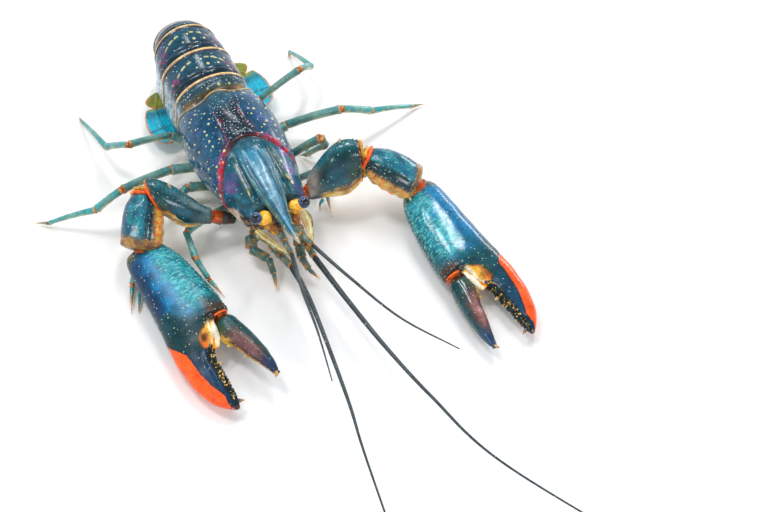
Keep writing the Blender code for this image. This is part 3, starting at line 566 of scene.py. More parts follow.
def shell_finish(name, look, gloss=0.2, shine=0.35, relief=0.25, uneven=1.0, soft=0.0):
    """Glossy shell: painted tint of uneven depth, with pale specks, cream spots and turquoise mottling.

    A second call with the same name gives the finish that is already made."""
    made = bpy.data.materials.get(name)
    if made:
        return made
    made = bpy.data.materials.new(name)
    made.use_nodes = True
    tree = made.node_tree
    shader = tree.nodes["Principled BSDF"]
    object_place = node(tree, "ShaderNodeTexCoord", {}).outputs["Object"]
    place = node(tree, "ShaderNodeVectorMath", {0: object_place, 3: 1 / MM}, operation="SCALE").outputs[0]
    tint = node(tree, "ShaderNodeAttribute", {}, attribute_name="tint").outputs["Color"]
    lay = node(tree, "ShaderNodeAttribute", {}, attribute_name="lay").outputs["Vector"]
    marks = node(tree, "ShaderNodeAttribute", {}, attribute_name="marks").outputs["Vector"]
    shares = node(tree, "ShaderNodeSeparateXYZ", {0: marks})
    clouds = node(tree, "ShaderNodeTexNoise", {"Vector": place, "Scale": CLOUD_RATE, "Detail": 4.0})
    dust = node(tree, "ShaderNodeTexNoise", {"Vector": place, "Scale": DUST_RATE, "Detail": 5.0})
    depth = rise(tree, clouds.outputs["Fac"], 0.3, 0.7, 1 - 0.3 * uneven, 1 + 0.3 * uneven)
    fine = rise(tree, dust.outputs["Fac"], 0.3, 0.7, 1 - 0.2 * uneven, 1 + 0.2 * uneven)
    level = maths(tree, "MULTIPLY", depth, fine)
    base = node(tree, "ShaderNodeVectorMath", {0: tint, 3: level}, operation="SCALE").outputs[0]
    stroke_place = node(tree, "ShaderNodeVectorMath", {0: lay, 1: (1.5, 0.5, 0.0)}, operation="MULTIPLY")
    strokes = {"Vector": stroke_place.outputs[0], "Scale": FLECK_RATE, "Detail": 2.0, "Distortion": 1.1}
    flecks = node(tree, "ShaderNodeTexNoise", strokes, noise_dimensions="2D")
    fleck = maths(tree, "MULTIPLY", rise(tree, flecks.outputs["Fac"], 0.51, 0.61), shares.outputs["Z"])
    colour = blended(tree, fleck, base, (*look.mottle_colour, 1.0))
    speck = dots(tree, lay, look.speck_gap * 1e3, 0.2, 0.4, shares.outputs["Y"])
    colour = blended(tree, maths(tree, "MULTIPLY", speck, 0.85), colour, (*look.speck_colour, 1.0))
    smallest, largest = look.spot_size * 0.2e3, look.spot_size * 0.5e3
    spot = dots(tree, lay, look.spot_gap * 1e3, smallest, largest, shares.outputs["X"])
    colour = blended(tree, maths(tree, "MULTIPLY", spot, 0.9), colour, (*look.spot_colour, 1.0))
    pits = node(tree, "ShaderNodeTexVoronoi", {"Vector": place, "Scale": PIT_RATE})
    pit = rise(tree, pits.outputs["Distance"], 0.05, 0.4)
    height = maths(tree, "ADD", maths(tree, "MULTIPLY", dust.outputs["Fac"], 0.7), pit)
    height = maths(tree, "ADD", height, maths(tree, "MULTIPLY", spot, 0.6))
    bump = node(tree, "ShaderNodeBump", {"Strength": relief, "Distance": RELIEF_REACH, "Height": height})
    rough = rise(tree, dust.outputs["Fac"], 0.3, 0.7, gloss - 0.05, gloss + 0.1)
    tree.links.new(colour, shader.inputs["Base Color"])
    tree.links.new(rough, shader.inputs["Roughness"])
    tree.links.new(bump.outputs[0], shader.inputs["Normal"])
    shader.inputs["Specular IOR Level"].default_value = shine
    shader.inputs["Subsurface Weight"].default_value = soft
    shader.inputs["Subsurface Radius"].default_value = LIGHT_REACH
    shader.inputs["Subsurface Scale"].default_value = 1.0
    return made


# ---- Choices that a user may change -----------------------------------------------------------------


def tint_choice(name, description, default):
    return bpy.props.FloatVectorProperty(
        name=name, description=description, default=default, subtype="COLOR", size=3, min=0.0, max=1.0
    )


def length_choice(name, description, millimetres):
    return bpy.props.FloatProperty(
        name=name, description=description, default=millimetres * MM, unit="LENGTH", min=0.0, precision=5
    )


class ShellLook(bpy.types.PropertyGroup):
    """Markings and tints of the carapace and the tail."""

    spot_colour: tint_choice("Spots", "Cream spots on the flanks and the tail", (0.68, 0.66, 0.3))
    spot_gap: length_choice("Spot spacing", "Typical distance between cream spots", 3.9)
    spot_size: length_choice("Spot size", "Width of the largest cream spots", 2.0)
    speck_colour: tint_choice("Specks", "Tiny pale dots all over the shell", (0.55, 0.78, 0.85))
    speck_gap: length_choice("Speck spacing", "Typical distance between tiny dots", 1.6)
    mottle_colour: tint_choice("Mottling", "Blue flecks", (0.05, 0.25, 0.4))
    band: tint_choice("Back band", "Dark band along the middle of the back", (0.003, 0.018, 0.036))
    flank: tint_choice("Flank", "Sides of the carapace", (0.003, 0.055, 0.125))
    violet: tint_choice("Violet", "Violet bloom on the flanks and the cheeks", (0.07, 0.07, 0.28))
    flank_low: tint_choice("Lower flank", "Sides of the carapace low down", (0.03, 0.16, 0.25))
    head: tint_choice("Head", "Smooth part of the carapace ahead of the groove", (0.005, 0.075, 0.11))
    head_plate: tint_choice("Head plate", "Raised middle of the head and the rostrum", (0.012, 0.18, 0.3))
    ridge: tint_choice("Ridges", "Ridges of the head", (0.1, 0.2, 0.11))
    groove_dark: tint_choice("Groove", "Bottom of the neck groove", (0.015, 0.004, 0.005))
    groove_lip: tint_choice("Groove lips", "Edges of the neck groove", (0.36, 0.055, 0.012))
    crimson: tint_choice("Crimson", "Patches beside the neck groove", (0.75, 0.008, 0.028))
    wine: tint_choice("Wine", "Marks on the sides of the tail and the cheeks", (0.34, 0.012, 0.16))
    cream: tint_choice("Underside", "Lower edges and belly", (0.8, 0.62, 0.42))
    tail: tint_choice("Tail", "Plates of the tail", (0.005, 0.055, 0.095))
    tail_front: tint_choice("Tail plate front", "Dark front of each tail plate", (0.003, 0.02, 0.035))
    # Side bloom is painted sheen: a pale blue reflection painted on the tail's side lobes, along the middle
    # of the head plate and rostrum, and in patches over the carapace's cream lower edge
    bloom: tint_choice("Side bloom", "Pale blue bloom of the tail's side lobes", (0.55, 0.7, 0.8))
    margin: tint_choice("Tail margins", "Rear edge of each tail plate", (0.74, 0.5, 0.2))
    olive: tint_choice("Olive", "Olive places behind the carapace", (0.1, 0.11, 0.025))


class ClawLook(bpy.types.PropertyGroup):
    """Markings and tints of the great claws and their arms."""

    spot_colour: tint_choice("Spots", "Cream dots on the claws", (0.72, 0.66, 0.38))
    spot_gap: length_choice("Spot spacing", "Typical distance between cream dots", 2.5)
    spot_size: length_choice("Spot size", "Width of the largest cream dots", 0.75)
    speck_colour: tint_choice("Specks", "Tiny pale dots", (0.35, 0.65, 0.65))
    speck_gap: length_choice("Speck spacing", "Typical distance between tiny dots", 1.9)
    mottle_colour: tint_choice("Mottling", "Pale turquoise flecks on the inner half", (0.1, 0.52, 0.54))
    navy: tint_choice("Navy", "Dark outer half of the right palm, and the finger tips", (0.003, 0.04, 0.12))
    blue: tint_choice("Blue", "Middle of the palm", (0.006, 0.17, 0.36))
    cobalt: tint_choice("Cobalt", "Bright outer half of the left palm", (0.002, 0.16, 0.34))
    turquoise: tint_choice("Turquoise", "Inner half of the palm", (0.012, 0.25, 0.33))
    teal: tint_choice("Teal", "Claw towards the fingers, and the arm", (0.003, 0.06, 0.07))
    deep_blue: tint_choice("Deep blue", "Middle of the second joint", (0.003, 0.11, 0.18))
    moss: tint_choice("Moss", "Dark green places near the joints", (0.02, 0.055, 0.018))
    shade: tint_choice("Shade", "Darkest creases", (0.003, 0.014, 0.018))
    umber: tint_choice("Umber", "Dark brown rims", (0.07, 0.025, 0.006))
    patch: tint_choice("Red patch", "Soft patch on the outer edge of the fixed finger", (1.0, 0.095, 0.008))
    rust: tint_choice("Rust", "Rims of the joints", (0.45, 0.09, 0.012))
    gold: tint_choice("Gold", "Marks round the hinge, and the small teeth", (0.68, 0.36, 0.05))
    tooth: tint_choice("Tooth", "Large teeth", (0.85, 0.7, 0.36))
    pale: tint_choice("Pale", "Bloom and beads on the arm", (0.45, 0.5, 0.48))
    finger: tint_choice("Finger", "Movable finger", (0.07, 0.035, 0.03))
    mauve: tint_choice("Mauve", "Middle of the movable finger", (0.22, 0.1, 0.11))
    arm: tint_choice("Arm", "Lighter teal of the arm", (0.02, 0.19, 0.23))
    belly: tint_choice("Arm underside", "Yellow lower edges of the arm", (0.8, 0.45, 0.06))
    membrane: tint_choice("Joint skin", "Soft skin between the joints", (0.85, 0.1, 0.01))


class LimbLook(bpy.types.PropertyGroup):
    """Tints of the tail fan, the walking legs, the eyes and the feelers."""

    spot_colour: tint_choice("Spots", "Pale dots on the legs", (0.7, 0.7, 0.5))
    spot_gap: length_choice("Spot spacing", "Typical distance between pale dots", 2.6)
    spot_size: length_choice("Spot size", "Width of the largest pale dots", 0.7)
    speck_colour: tint_choice("Specks", "Tiny pale dots", (0.6, 0.75, 0.7))
    speck_gap: length_choice("Speck spacing", "Typical distance between tiny dots", 1.8)
    mottle_colour: tint_choice("Mottling", "Paler flecks", (0.3, 0.45, 0.4))
    leg: tint_choice("Leg", "Upper face of the walking legs", (0.03, 0.29, 0.31))
    leg_under: tint_choice("Leg underside", "Lower face of the walking legs", (0.5, 0.52, 0.3))
    ring: tint_choice("Leg joints", "Rings at the joints of the legs", (0.3, 0.09, 0.015))
    tip: tint_choice("Leg tips", "Pointed ends of the legs", (0.62, 0.27, 0.07))
    fan: tint_choice("Tail fan", "Blades of the tail fan", (0.002, 0.47, 0.68))
    fan_edge: tint_choice("Fan edge", "Edges and fringe of the tail fan", (0.75, 0.26, 0.04))
    olive: tint_choice("Fan base", "Bases of the side blades", (0.22, 0.25, 0.03))
    feeler: tint_choice("Feelers", "Antennae", (0.028, 0.042, 0.05))
    scale: tint_choice("Antennal scale", "Cream scales beside the feelers", (0.85, 0.66, 0.3))
    stalk: tint_choice("Eye stalks", "Short stalks of the eyes", (0.95, 0.45, 0.03))
    eye: tint_choice("Eyes", "Eyeballs", (0.006, 0.03, 0.1))


class StageLook(bpy.types.PropertyGroup):
    """Floor, light and camera."""

    floor: tint_choice("Floor", "Plain pale floor", (0.93, 0.935, 0.94))
    sky: bpy.props.FloatProperty(
        name="Surrounding light", description="Strength of the pale surroundings", default=0.72, min=0.0
    )
    key: bpy.props.FloatProperty(
        name="Softboxes", description="Strength of the softboxes, as a share", default=1.0, min=0.0
    )
    lens: bpy.props.FloatProperty(
        name="Lens", description="Focal length in millimetres", default=60.0, min=10.0
    )


def looks(context):
    scene = context.scene
    return scene.crayfish_shell, scene.crayfish_claws, scene.crayfish_limbs


# ---- Carapace and rostrum ---------------------------------------------------------------------------

# Ridges of the head, each (y, distance from the middle)
ROSTRAL_RIDGE = [(-30, 4.6), (-36, 5.6), (-46, 6.1), (-58, 5.7), (-66, 4.6)]
EYE_RIDGE = [(-36, 8.6), (-44, 9.4), (-52, 9.6), (-60, 9.2), (-66, 8.6)]
BACK_LINES = [(-30, 7.6), (-20, 5.4), (-8, 5.8), (3, 6.6)]
# From a ridge in to the hollow beside it, and from the neck groove back to the lip behind it
RIDGE_HOLLOW, REAR_LIP = 1.9, 2.1


def groove_distance(x, y, z):
    """Distance behind the neck groove; negative on the head."""
    return y - (GROOVE_APEX - GROOVE_SWEEP * x**2 - GROOVE_FALL * np.clip(30 - z, 0, 14))


def carapace_relief(x, y, z):
    """How far the shell stands out from its plain oval."""
    over, out = step_up(20, 30, z), abs(x)
    reach = step_up(-35, -45, y) * over
    ridge = level_through(ROSTRAL_RIDGE, y)
    relief = reach * (0.7 * bell(out - ridge, 0.7) - 0.45 * bell(out - ridge + RIDGE_HOLLOW, 0.9))
    relief += 0.25 * reach * bell(x, 2.6)
    eye_reach = step_up(-37, -43, y) * step_up(-61, -57.5, y) * over
    relief += eye_reach * 0.7 * bell(out - level_through(EYE_RIDGE, y), 0.65)
    relief -= 0.3 * step_up(-40, -46, y) * over * bell(out - 7.6, 0.7)
    behind = groove_distance(x, y, z)
    rear = step_up(1.0, 5.0, behind) * over
    relief -= 0.32 * rear * bell(out - level_through(BACK_LINES, y), 0.7)
    lips = bell(behind - REAR_LIP, 0.8) + 0.6 * bell(behind + 2.2, 0.8)
    relief += 0.22 * lips * step_up(17, 20, z)
    return relief + 0.07 * ripple(np.stack([x, y, z], -1), 7, 3)


def carapace_paint(x, y, z, look):
    """Tint and marking shares over the carapace."""
    out, place = abs(x), np.stack([x, y, z], -1)
    behind = groove_distance(x, y, z)
    cloud, small, fine = ripple(place, 9, 5), ripple(place, 3.2, 8), ripple(place, 1.4, 9)
    lines = bell(out - level_through(BACK_LINES, y) + 0.5 * small, 0.55)
    lines = lines * step_up(-0.2, 0.9, small + 0.7 * fine)
    rear = step_up(-13, -3, y + 1.5 * cloud)
    ridge, eye_ridge = level_through(ROSTRAL_RIDGE, y), level_through(EYE_RIDGE, y)
    reach = step_up(-37, -45, y) * step_up(24, 30, z)
    cheek = step_up(9.5, 11.5, out) * step_up(-33, -38, y) * step_up(20, 27, z)
    rim_level = 22.8 + 8.2 * step_up(-44, -61, y)
    brown = layered(
        look.groove_dark,
        (look.margin, 0.9 * step_up(-0.1, 0.9, small + 0.4 * fine)),
        (look.head, 0.7 * step_up(0.2, 0.9, -fine)),
    )
    cream = layered(
        look.cream,
        # Patches of painted sheen over the cream lower edge of the carapace
        (look.bloom, 0.35 * step_up(0.0, 0.8, small)),
        (brown, step_up(-58.5, -60.5, y)),
        (look.groove_lip, 0.45 * step_up(0.5, 1.1, fine)),
    )
    head = layered(
        look.head,
        (look.head_plate, step_up(7.4, 5.0, out) * step_up(-34, -42, y)),
        (look.head_plate, 0.4 * step_up(0.4, 1.4, cloud)),
        # Painted highlight: a pale sheen along the middle of the head plate
        (look.bloom, (0.26 + 0.08 * small) * bell(out, 2.4) * bell(y + 55, 9)),
        (look.band, 0.85 * reach * bell(out - ridge + RIDGE_HOLLOW, 0.8)),
        (look.band, 0.75 * reach * bell(out - ridge - 1.4, 0.8)),
        (look.ridge, 0.6 * reach * bell(out - ridge, 0.45) * (0.6 + 0.4 * fine)),
        (look.ridge, 0.65 * reach * bell(out - eye_ridge, 0.5) * (0.6 + 0.4 * fine)),
        (look.violet, 0.6 * cheek * step_up(-0.2, 0.9, cloud + 0.3 * small)),
        (look.wine, 0.3 * cheek * step_up(0.3, 1.5, cloud + 0.3 * small)),
        (look.head_plate, 0.5 * cheek * step_up(0.3, 1.0, -small)),
        (cream, 0.9 * step_up(rim_level + 1.5, rim_level - 1.5, z + 0.8 * small)),
    )
    seen = step_up(16.5, 19.5, z)
    lip = (0.9 * bell(behind - 1.0, 0.45) + 0.4 * bell(behind + 0.9, 0.35)) * seen
    lip_tint = mix(look.groove_dark, look.groove_lip, 0.25 + 0.75 * step_up(4, 11, out))
    side_patch = bell(out - 15.0, 4.0) * bell(behind - REAR_LIP, 1.6) * step_up(-1.1, -0.2, small)
    spots = 0.85 * step_up(6.0, 9, out) * step_up(0.6, 2.2, behind) + 0.05 * step_up(0, -3, behind)
    specks = 0.07 + 0.75 * step_up(8.0, 4.5, out) * step_up(0.5, 3, behind) * step_up(0, -8, y)
    specks = specks + 0.2 * step_up(0, -6, behind) * step_up(9, 4, out)
    mottle = 0.3 * step_up(10, 14, out) * step_up(0, 2, behind)
    tint = layered(
        look.band,
        (look.flank, step_up(4.5, 9.5, out + 0.8 * cloud)),
        (look.violet, 0.3 * step_up(0.1, 1.3, cloud) * step_up(7, 11, out)),
        (look.flank_low, step_up(30, 18, z + 2 * cloud)),
        # Painted sheen: the rear of the dark back band is lightened towards the lower flank's blue
        (look.flank_low, 0.5 * rear * step_up(9, 4, out)),
        (look.crimson, 0.45 * lines * step_up(-4, -18, y) * step_up(30, 36, z)),
        (look.olive, 0.55 * step_up(-1.6, 1.5, y + 0.6 * small)),
        (head, step_up(0.2, -0.2, behind)),
        (lip_tint, lip * (0.75 + 0.25 * small)),
        (look.crimson, side_patch),
        (look.groove_dark, 0.95 * bell(behind, 0.5) * seen),
        (look.cream, step_up(15.5, 12.5, z + 0.6 * small)),
    )
    return tint, np.stack([spots * step_up(15, 20, z), specks, mottle], -1)


def carapace_skin(look, stations=212, around=244):
    """The grooved and ridged carapace, with a rolled rear margin and a closed, beaded front."""
    ys = np.linspace(CARAPACE_REAR, CARAPACE_FRONT, stations)
    half = level_through(CARAPACE_HALF_WIDTH, ys)
    top, bottom = level_through(CARAPACE_TOP, ys), level_through(CARAPACE_BOTTOM, ys)
    bottom = bottom - 2.6 * bell(ys + 50, 9)
    middle = bottom + 0.4 * (top - bottom)
    across, upward = oval(around, CARAPACE_POWER)
    rings = np.zeros((stations, around, 3))
    rings[:, :, 0] = half[:, None] * across
    rise_up = np.where(upward > 0, (top - middle)[:, None] * upward, (middle - bottom)[:, None] * upward)
    rings[:, :, 2] = middle[:, None] + rise_up
    near_rear = np.clip((ys - CARAPACE_FRONT) / (CARAPACE_REAR - CARAPACE_FRONT), 0, 1)[:, None] ** 8
    sweep = REAR_LOBE * across**4 - REAR_NOTCH * np.sin(math.pi * across) ** 2 * (upward > 0)
    rings[:, :, 1] = ys[:, None] + sweep * near_rear
    centres = np.stack([0 * ys, ys, middle], 1)[:, None, :]
    outward = rings - centres
    outward[:, :, 1] = 0
    outward = unit(outward)
    x, y, z = rings[..., 0], rings[..., 1], rings[..., 2]
    press = GROOVE_DEPTH * bell(groove_distance(x, y, z), 0.8 * GROOVE_WIDTH) * (z > 17)
    from_rear = (CARAPACE_REAR - ys)[:, None]
    rim = 0.3 * bell(from_rear - 0.6, 0.5) - 0.35 * bell(from_rear - 1.9, 0.6)
    rim = rim - 1.1 * step_up(0.45, 0.0, from_rear)
    rings = raised(rings, outward, carapace_relief(x, y, z) - press + rim)
    tint, marks = carapace_paint(x, y, z, look)
    recess = centres[0] + (rings[0] - centres[0]) * (0.86, 0, 0.86)
    recess[:, 1] -= CARAPACE_REAR + 1.5
    face = rings[-1].mean(axis=0)
    closing = ((0.95, 0.5), (0.86, 1.0), (0.6, 1.7), (0.3, 2))
    nose = [face + (rings[-1] - face) * share - (0, ahead, 0) for share, ahead in closing]
    rings = np.concatenate([recess[None], rings, np.array(nose)])
    tint = layered(
        tint,
        (look.margin, 0.75 * bell(from_rear - 0.85, 0.4) * np.ones_like(x)),
        (look.band, 0.8 * bell(from_rear - 2.0, 0.5) * np.ones_like(x)),
    )
    # The closed front face takes a darker copy of the last ring's tint: painted shade
    tint = np.concatenate([tint[:1], tint, np.repeat(tint[-1:] * 0.6, 4, axis=0)])
    marks = np.concatenate([marks[:1], marks, np.repeat(marks[-1:], 4, axis=0)])
    skin = Skin()
    skin.rings(rings, tint, marks)
    draw = np.random.default_rng(15)
    for _ in range(150):
        row, turn = int(draw.integers(-5, -2)), int(draw.integers(0, around))
        root, size = rings[row, turn], draw.uniform(0.4, 1.1)
        if 22.5 < root[2] < 31.5:
            bead = look.margin if draw.uniform() < 0.55 else look.groove_dark
            run = (draw.uniform(-0.6, 0.6), -1, 0.6)
            skin.thorn(root + (0, 0.3, 0), run, 0.9 * size, 0.6 * size, bead, look.groove_lip)
    return skin


def rostrum_section(across, upward):
    """Relief of the rostrum's top: raised margins, a groove inside each, and a broad convex middle."""
    out = abs(across)
    top = (upward > 0.15) * 1.0
    return top * (0.45 * bell(out - 0.86, 0.12) - 0.5 * bell(out - 0.62, 0.15) + 0.22 * bell(across, 0.3))


def add_rostrum(skin, look, stations=110, around=72):
    """The rostrum with its spines, and the spines behind the eyes and on the cheeks."""
    ys = np.linspace(ROSTRUM_ROOT, ROSTRUM_TIP, stations)
    half = level_through(ROSTRUM_HALF_WIDTH, ys)
    top, thick = level_through(ROSTRUM_TOP, ys), level_through(ROSTRUM_THICKNESS, ys)
    sway = level_through(ROSTRUM_SWAY, ys)
    line = np.stack([sway, ys, top - thick / 2], 1)
    across, upward = oval(around, ROSTRUM_POWER)
    vectors = same_frame(line, (-1.0, 0, 0), UP)
    rings = rings_along(line, half, thick / 2, vectors, around, ROSTRUM_POWER)
    rings[:, :, 2] += rostrum_section(across, upward) * np.minimum(1.0, half / 2.4)[:, None]
    along, out = by_ring(ys, rings), by_turn(abs(across), rings)
    # A pale painted highlight along the rostrum's middle, in the side bloom's tint
    painted_highlight = (0.26 + 0.08 * ripple(rings, 3.2, 8)) * bell(out, 0.42) * (upward > 0) * step_up(-80, -66, along)
    edge = bell(out - 0.93, 0.12) * (upward > -0.3)
    specks = by_turn(0.25 * bell(across, 0.45), rings)
    tint = layered(
        look.head_plate,
        (look.band, 0.8 * bell(out - 0.62, 0.14) * (upward > 0.1)),
        (look.bloom, painted_highlight),
        (look.ridge, 0.8 * edge),
        (look.head, 0.8 * (upward < -0.5) * np.ones_like(out)),
        (look.margin, 0.5 * step_up(-82, -90, along)),
    )
    skin.rings(rings, tint, np.stack([0 * specks, specks, 0 * specks], -1))
    for side in (RIGHT, LEFT):
        for y in ROSTRUM_SPINES:
            tables = (ROSTRUM_HALF_WIDTH, ROSTRUM_TOP, ROSTRUM_SWAY)
            width, level, shift = (level_through(table, y) for table in tables)
            root = np.array((shift + side * (width - 0.9), y, level - 0.9))
            skin.thorn(root, (side * 0.6, -1, 0.35), 2.3, 0.75, look.ridge, look.margin)
        eye_spine = np.array((side * 9.3, -56.3, 40.3))
        skin.thorn(eye_spine, (side * 0.12, -1, 0.12), 4.0, 1.05, look.ridge, look.margin, around=12)
        cheek_spine = np.array((side * 13.4, -60.4, 28.5))
        skin.thorn(cheek_spine, (side * 0.2, -1, 0.05), 4.8, 1.15, look.cream, look.margin, around=12)


class CRAYFISH_OT_carapace(bpy.types.Operator):
    """Builds the carapace with its neck groove, head ridges, rostrum and spines"""

    bl_idname = "crayfish.carapace"
    bl_label = "Carapace"

    def execute(self, context):
        look = looks(context)[0]
        skin = carapace_skin(look)
        add_rostrum(skin, look)
        finish = shell_finish("carapace_shell", look, gloss=0.16, shine=0.42, relief=0.13)
        skin.finish("carapace_and_rostrum", finish, "shell_blue", ["carapace"])
        return {"FINISHED"}


# ---- Breast plate, tail and tail fan ----------------------------------------------------------------


class CRAYFISH_OT_breast(bpy.types.Operator):
    """Builds the ridged breast plate between the legs, with the stout first joint of each leg"""

    bl_idname = "crayfish.breast"
    bl_label = "Breast plate"

    def execute(self, context):
        shell, _, limb = looks(context)
        ys = np.linspace(BREAST_REAR, BREAST_FRONT, 120)
        line = np.stack([0 * ys, ys, 0 * ys + BREAST_LEVEL], 1)
        half = level_through([(-58, 5.0), (-40, 8.4), (-14, 9.2), (1, 7.0)], ys)
        plates = 0.5 * abs(np.sin((ys - 1) / 13 * math.pi))
        dome = rounded_ends(1 - ys, BREAST_REAR - BREAST_FRONT, 3)
        vectors = same_frame(line, (-1.0, 0, 0), UP)
        around = 48
        rings = rings_along(line, half * dome, (2.3 + plates) * dome, vectors, around, BREAST_POWER)
        across = oval(around, BREAST_POWER)[0]
        rings[:, :, 2] += 0.7 * bell(across, 0.16)
        cloud = ripple(rings, 6, 31)
        skin = Skin()
        tint = layered(
            shell.cream,
            (limb.leg, 0.35 + 0.3 * cloud),
            (shell.groove_lip, 0.3 * (plates < 0.12)[:, None] * np.ones(around)),
        )
        skin.rings(rings, tint)
        for sides in WALKING_LEGS.values():
            for side, joints in sides.items():
                hip = np.array(joints[0], float)
                inner = np.array((side * 7.6, hip[1], hip[2] - 0.4))
                add_article(skin, inner, hip + (side * 2.2, 0, 0.2), 3.1, 2.9, limb, under=0.6)
        finish = shell_finish("underside_shell", shell, gloss=0.34)
        skin.finish("breast_plate", finish, "underside", ["sternum"])
        return {"FINISHED"}


def tail_ring(s, grow, arch_points):
    """One ring of the tail, each point's angle over the back, and how far down a side lobe it lies.

    The angle is -1 on the belly; the other is 1 at a lobe's tip and on the belly, and 0 over the back."""
    angle = math.pi / 2 - max(0.0, s - CURL_START) / CURL_RADIUS
    outward = np.array((0.0, math.cos(angle), math.sin(angle)))
    foot = np.array((level_through(TAIL_SWAY, s), min(s, CURL_START), CURL_HEIGHT))
    half, back, widest, belly, tip = through(TAIL_SECTIONS, np.array([s]))[0]
    half, back = half + grow, back + grow
    turns = np.linspace(0, math.pi, arch_points)
    flared = PLEURON_FLARE * half if s < CURL_START else half
    fall = np.linspace(0, 1, 10)[:, None]
    down_left = (1 - fall) * (flared - 0.8, tip) + fall * (flared, (tip + widest) / 2)
    up_left = (1 - fall) * (flared, (tip + widest) / 2) + fall * (half, widest)
    down_left[:, 0] += 0.8 * np.sin(math.pi * fall[:, 0])
    left = np.concatenate([down_left[:-1], up_left[:-1]])
    arch = np.stack([half * np.cos(turns), widest + (back - widest) * np.sin(turns)], 1)
    right = left[::-1] * (-1, 1)
    inside = half - 2.2
    belly_line = [
        (2.4 - flared, tip + 0.5),
        (-inside, (tip + belly) / 2),
        (-0.6 * half, belly),
        (-0.2 * half, belly),
        (0.2 * half, belly),
        (0.6 * half, belly),
        (inside, (tip + belly) / 2),
        (flared - 2.4, tip + 0.5),
    ]
    flat = np.concatenate([left, arch, right, np.array(belly_line)])
    turn = np.concatenate([np.zeros(len(left)), turns, np.full(len(right), math.pi), np.full(8, -1.0)])
    falling, rising = np.linspace(1, 0, len(left)), np.linspace(0, 1, len(right))
    side_plate = np.concatenate([falling, 0 * turns, rising, np.ones(8)])
    ring = foot + flat[:, :1] * (1, 0, 0) + flat[:, 1:] * outward
    return ring, turn, side_plate


def tail_growth(run, length):
    """How far a tail plate stands out at each place along it: slipped under in front, a lip behind."""
    left = length - run
    grow = -MARGIN_LIP + (MARGIN_LIP + 0.12) * step_up(0.0, 0.16 * length, run)
    grow += 0.12 * step_up(0.1 * length, 0.4 * length, run) - 0.16 * bell(run - 0.24 * length, 0.5)
    grow -= 0.2 * bell(left - 1.9, 0.5)
    return grow + (MARGIN_LIP - 0.2) * step_up(1.7, 0.9, left)


def tail_paint(number, run, length, turn, side_plate, points, look):
    """Tint and marking shares of one tail plate."""
    left = length - run
    cloud, small = ripple(points, 8, 11 + number), ripple(points, 2.6, 21)
    lean = abs(turn - math.pi / 2)
    back = (turn > -0.5) * 1.0
    wine = bell(lean - 0.95, 0.22) * bell(run - 0.42 * length, 0.17 * length) * step_up(-0.1, 0.5, small)
    tint = layered(
        look.tail_front,
        (look.tail, step_up(0.14 * length, 0.42 * length, run + 1.6 * cloud)),
        (look.violet, 0.3 * step_up(0.2, 1.2, cloud) * step_up(0.4, 0.8, lean)),
        (look.flank_low, 0.5 * step_up(0.95, 1.35, lean) * step_up(0.2 * length, 0.4 * length, run)),
        (look.wine, wine * (number in (2, 3, 4))),
    )
    if number in (2, 3):
        arc = bell(run - (0.68 * length - 10.4 * (lean - 0.12) ** 2), 0.42)
        dashes = step_up(-0.75, -0.3, np.sin(lean * 30 + 0.6) + 0.3 * small)
        streak = arc * step_up(0.14, 0.22, lean) * step_up(0.76, 0.68, lean) * dashes
        tint = mix(tint, look.spot_colour, streak * (side_plate < 0.01))
    if number == 1:
        tint = layered(
            tint,
            (look.olive, 0.6 * bell(run - 0.5 * length, 2.4)),
            (look.groove_lip, 0.45 * bell(run - 0.42 * length, 0.3)),
            (look.flank, 0.7 * bell(run - 0.6 * length, 0.8)),
        )
        corner = bell(run - 0.35 * length, 1.8) * bell(lean - 1.1, 0.26)
        tint = mix(tint, mix(look.margin, look.groove_lip, 0.4), 0.95 * corner)
    # Painted sheen: a pale blue reflection painted on the side lobes and lower sides of the first three
    # plates
    bloom = 0.35 * step_up(0.0, 0.25, side_plate) * step_up(1.0, 0.5, side_plate)
    bloom = bloom + 0.5 * step_up(1.05, 1.5, lean)
    bloom = bloom * step_up(0.5, 1.8, run) * (0.8 + 0.3 * small + 0.2 * cloud) * back
    tint = mix(tint, look.bloom, np.clip(bloom, 0, 0.92) * (number < 4))
    if number > 1:
        tint = mix(tint, look.tail_front, 0.9 * bell(left - 2.1, 0.7))
    spots = 0.5 * step_up(0.22 * length, 0.4 * length, run) * step_up(2.4, 3.2, left)
    spots = spots * step_up(1.45, 1.2, lean) * back
    specks = (0.12 + 0.7 * (number == 1) * bell(run - 0.7 * length, 1.6)) * back
    tint = layered(
        tint,
        (look.margin, step_up(1.15, 0.9, left) * (0.9 + 0.1 * small)),
        (look.groove_lip, 0.35 * bell(left - 1.15, 0.22)),
        (look.cream, 0.8 * (turn < -0.5) + 0.4 * (side_plate > 0.93) * back),
    )
    return tint, np.stack([0.55 * spots, specks, 0.05 + 0 * spots], -1)


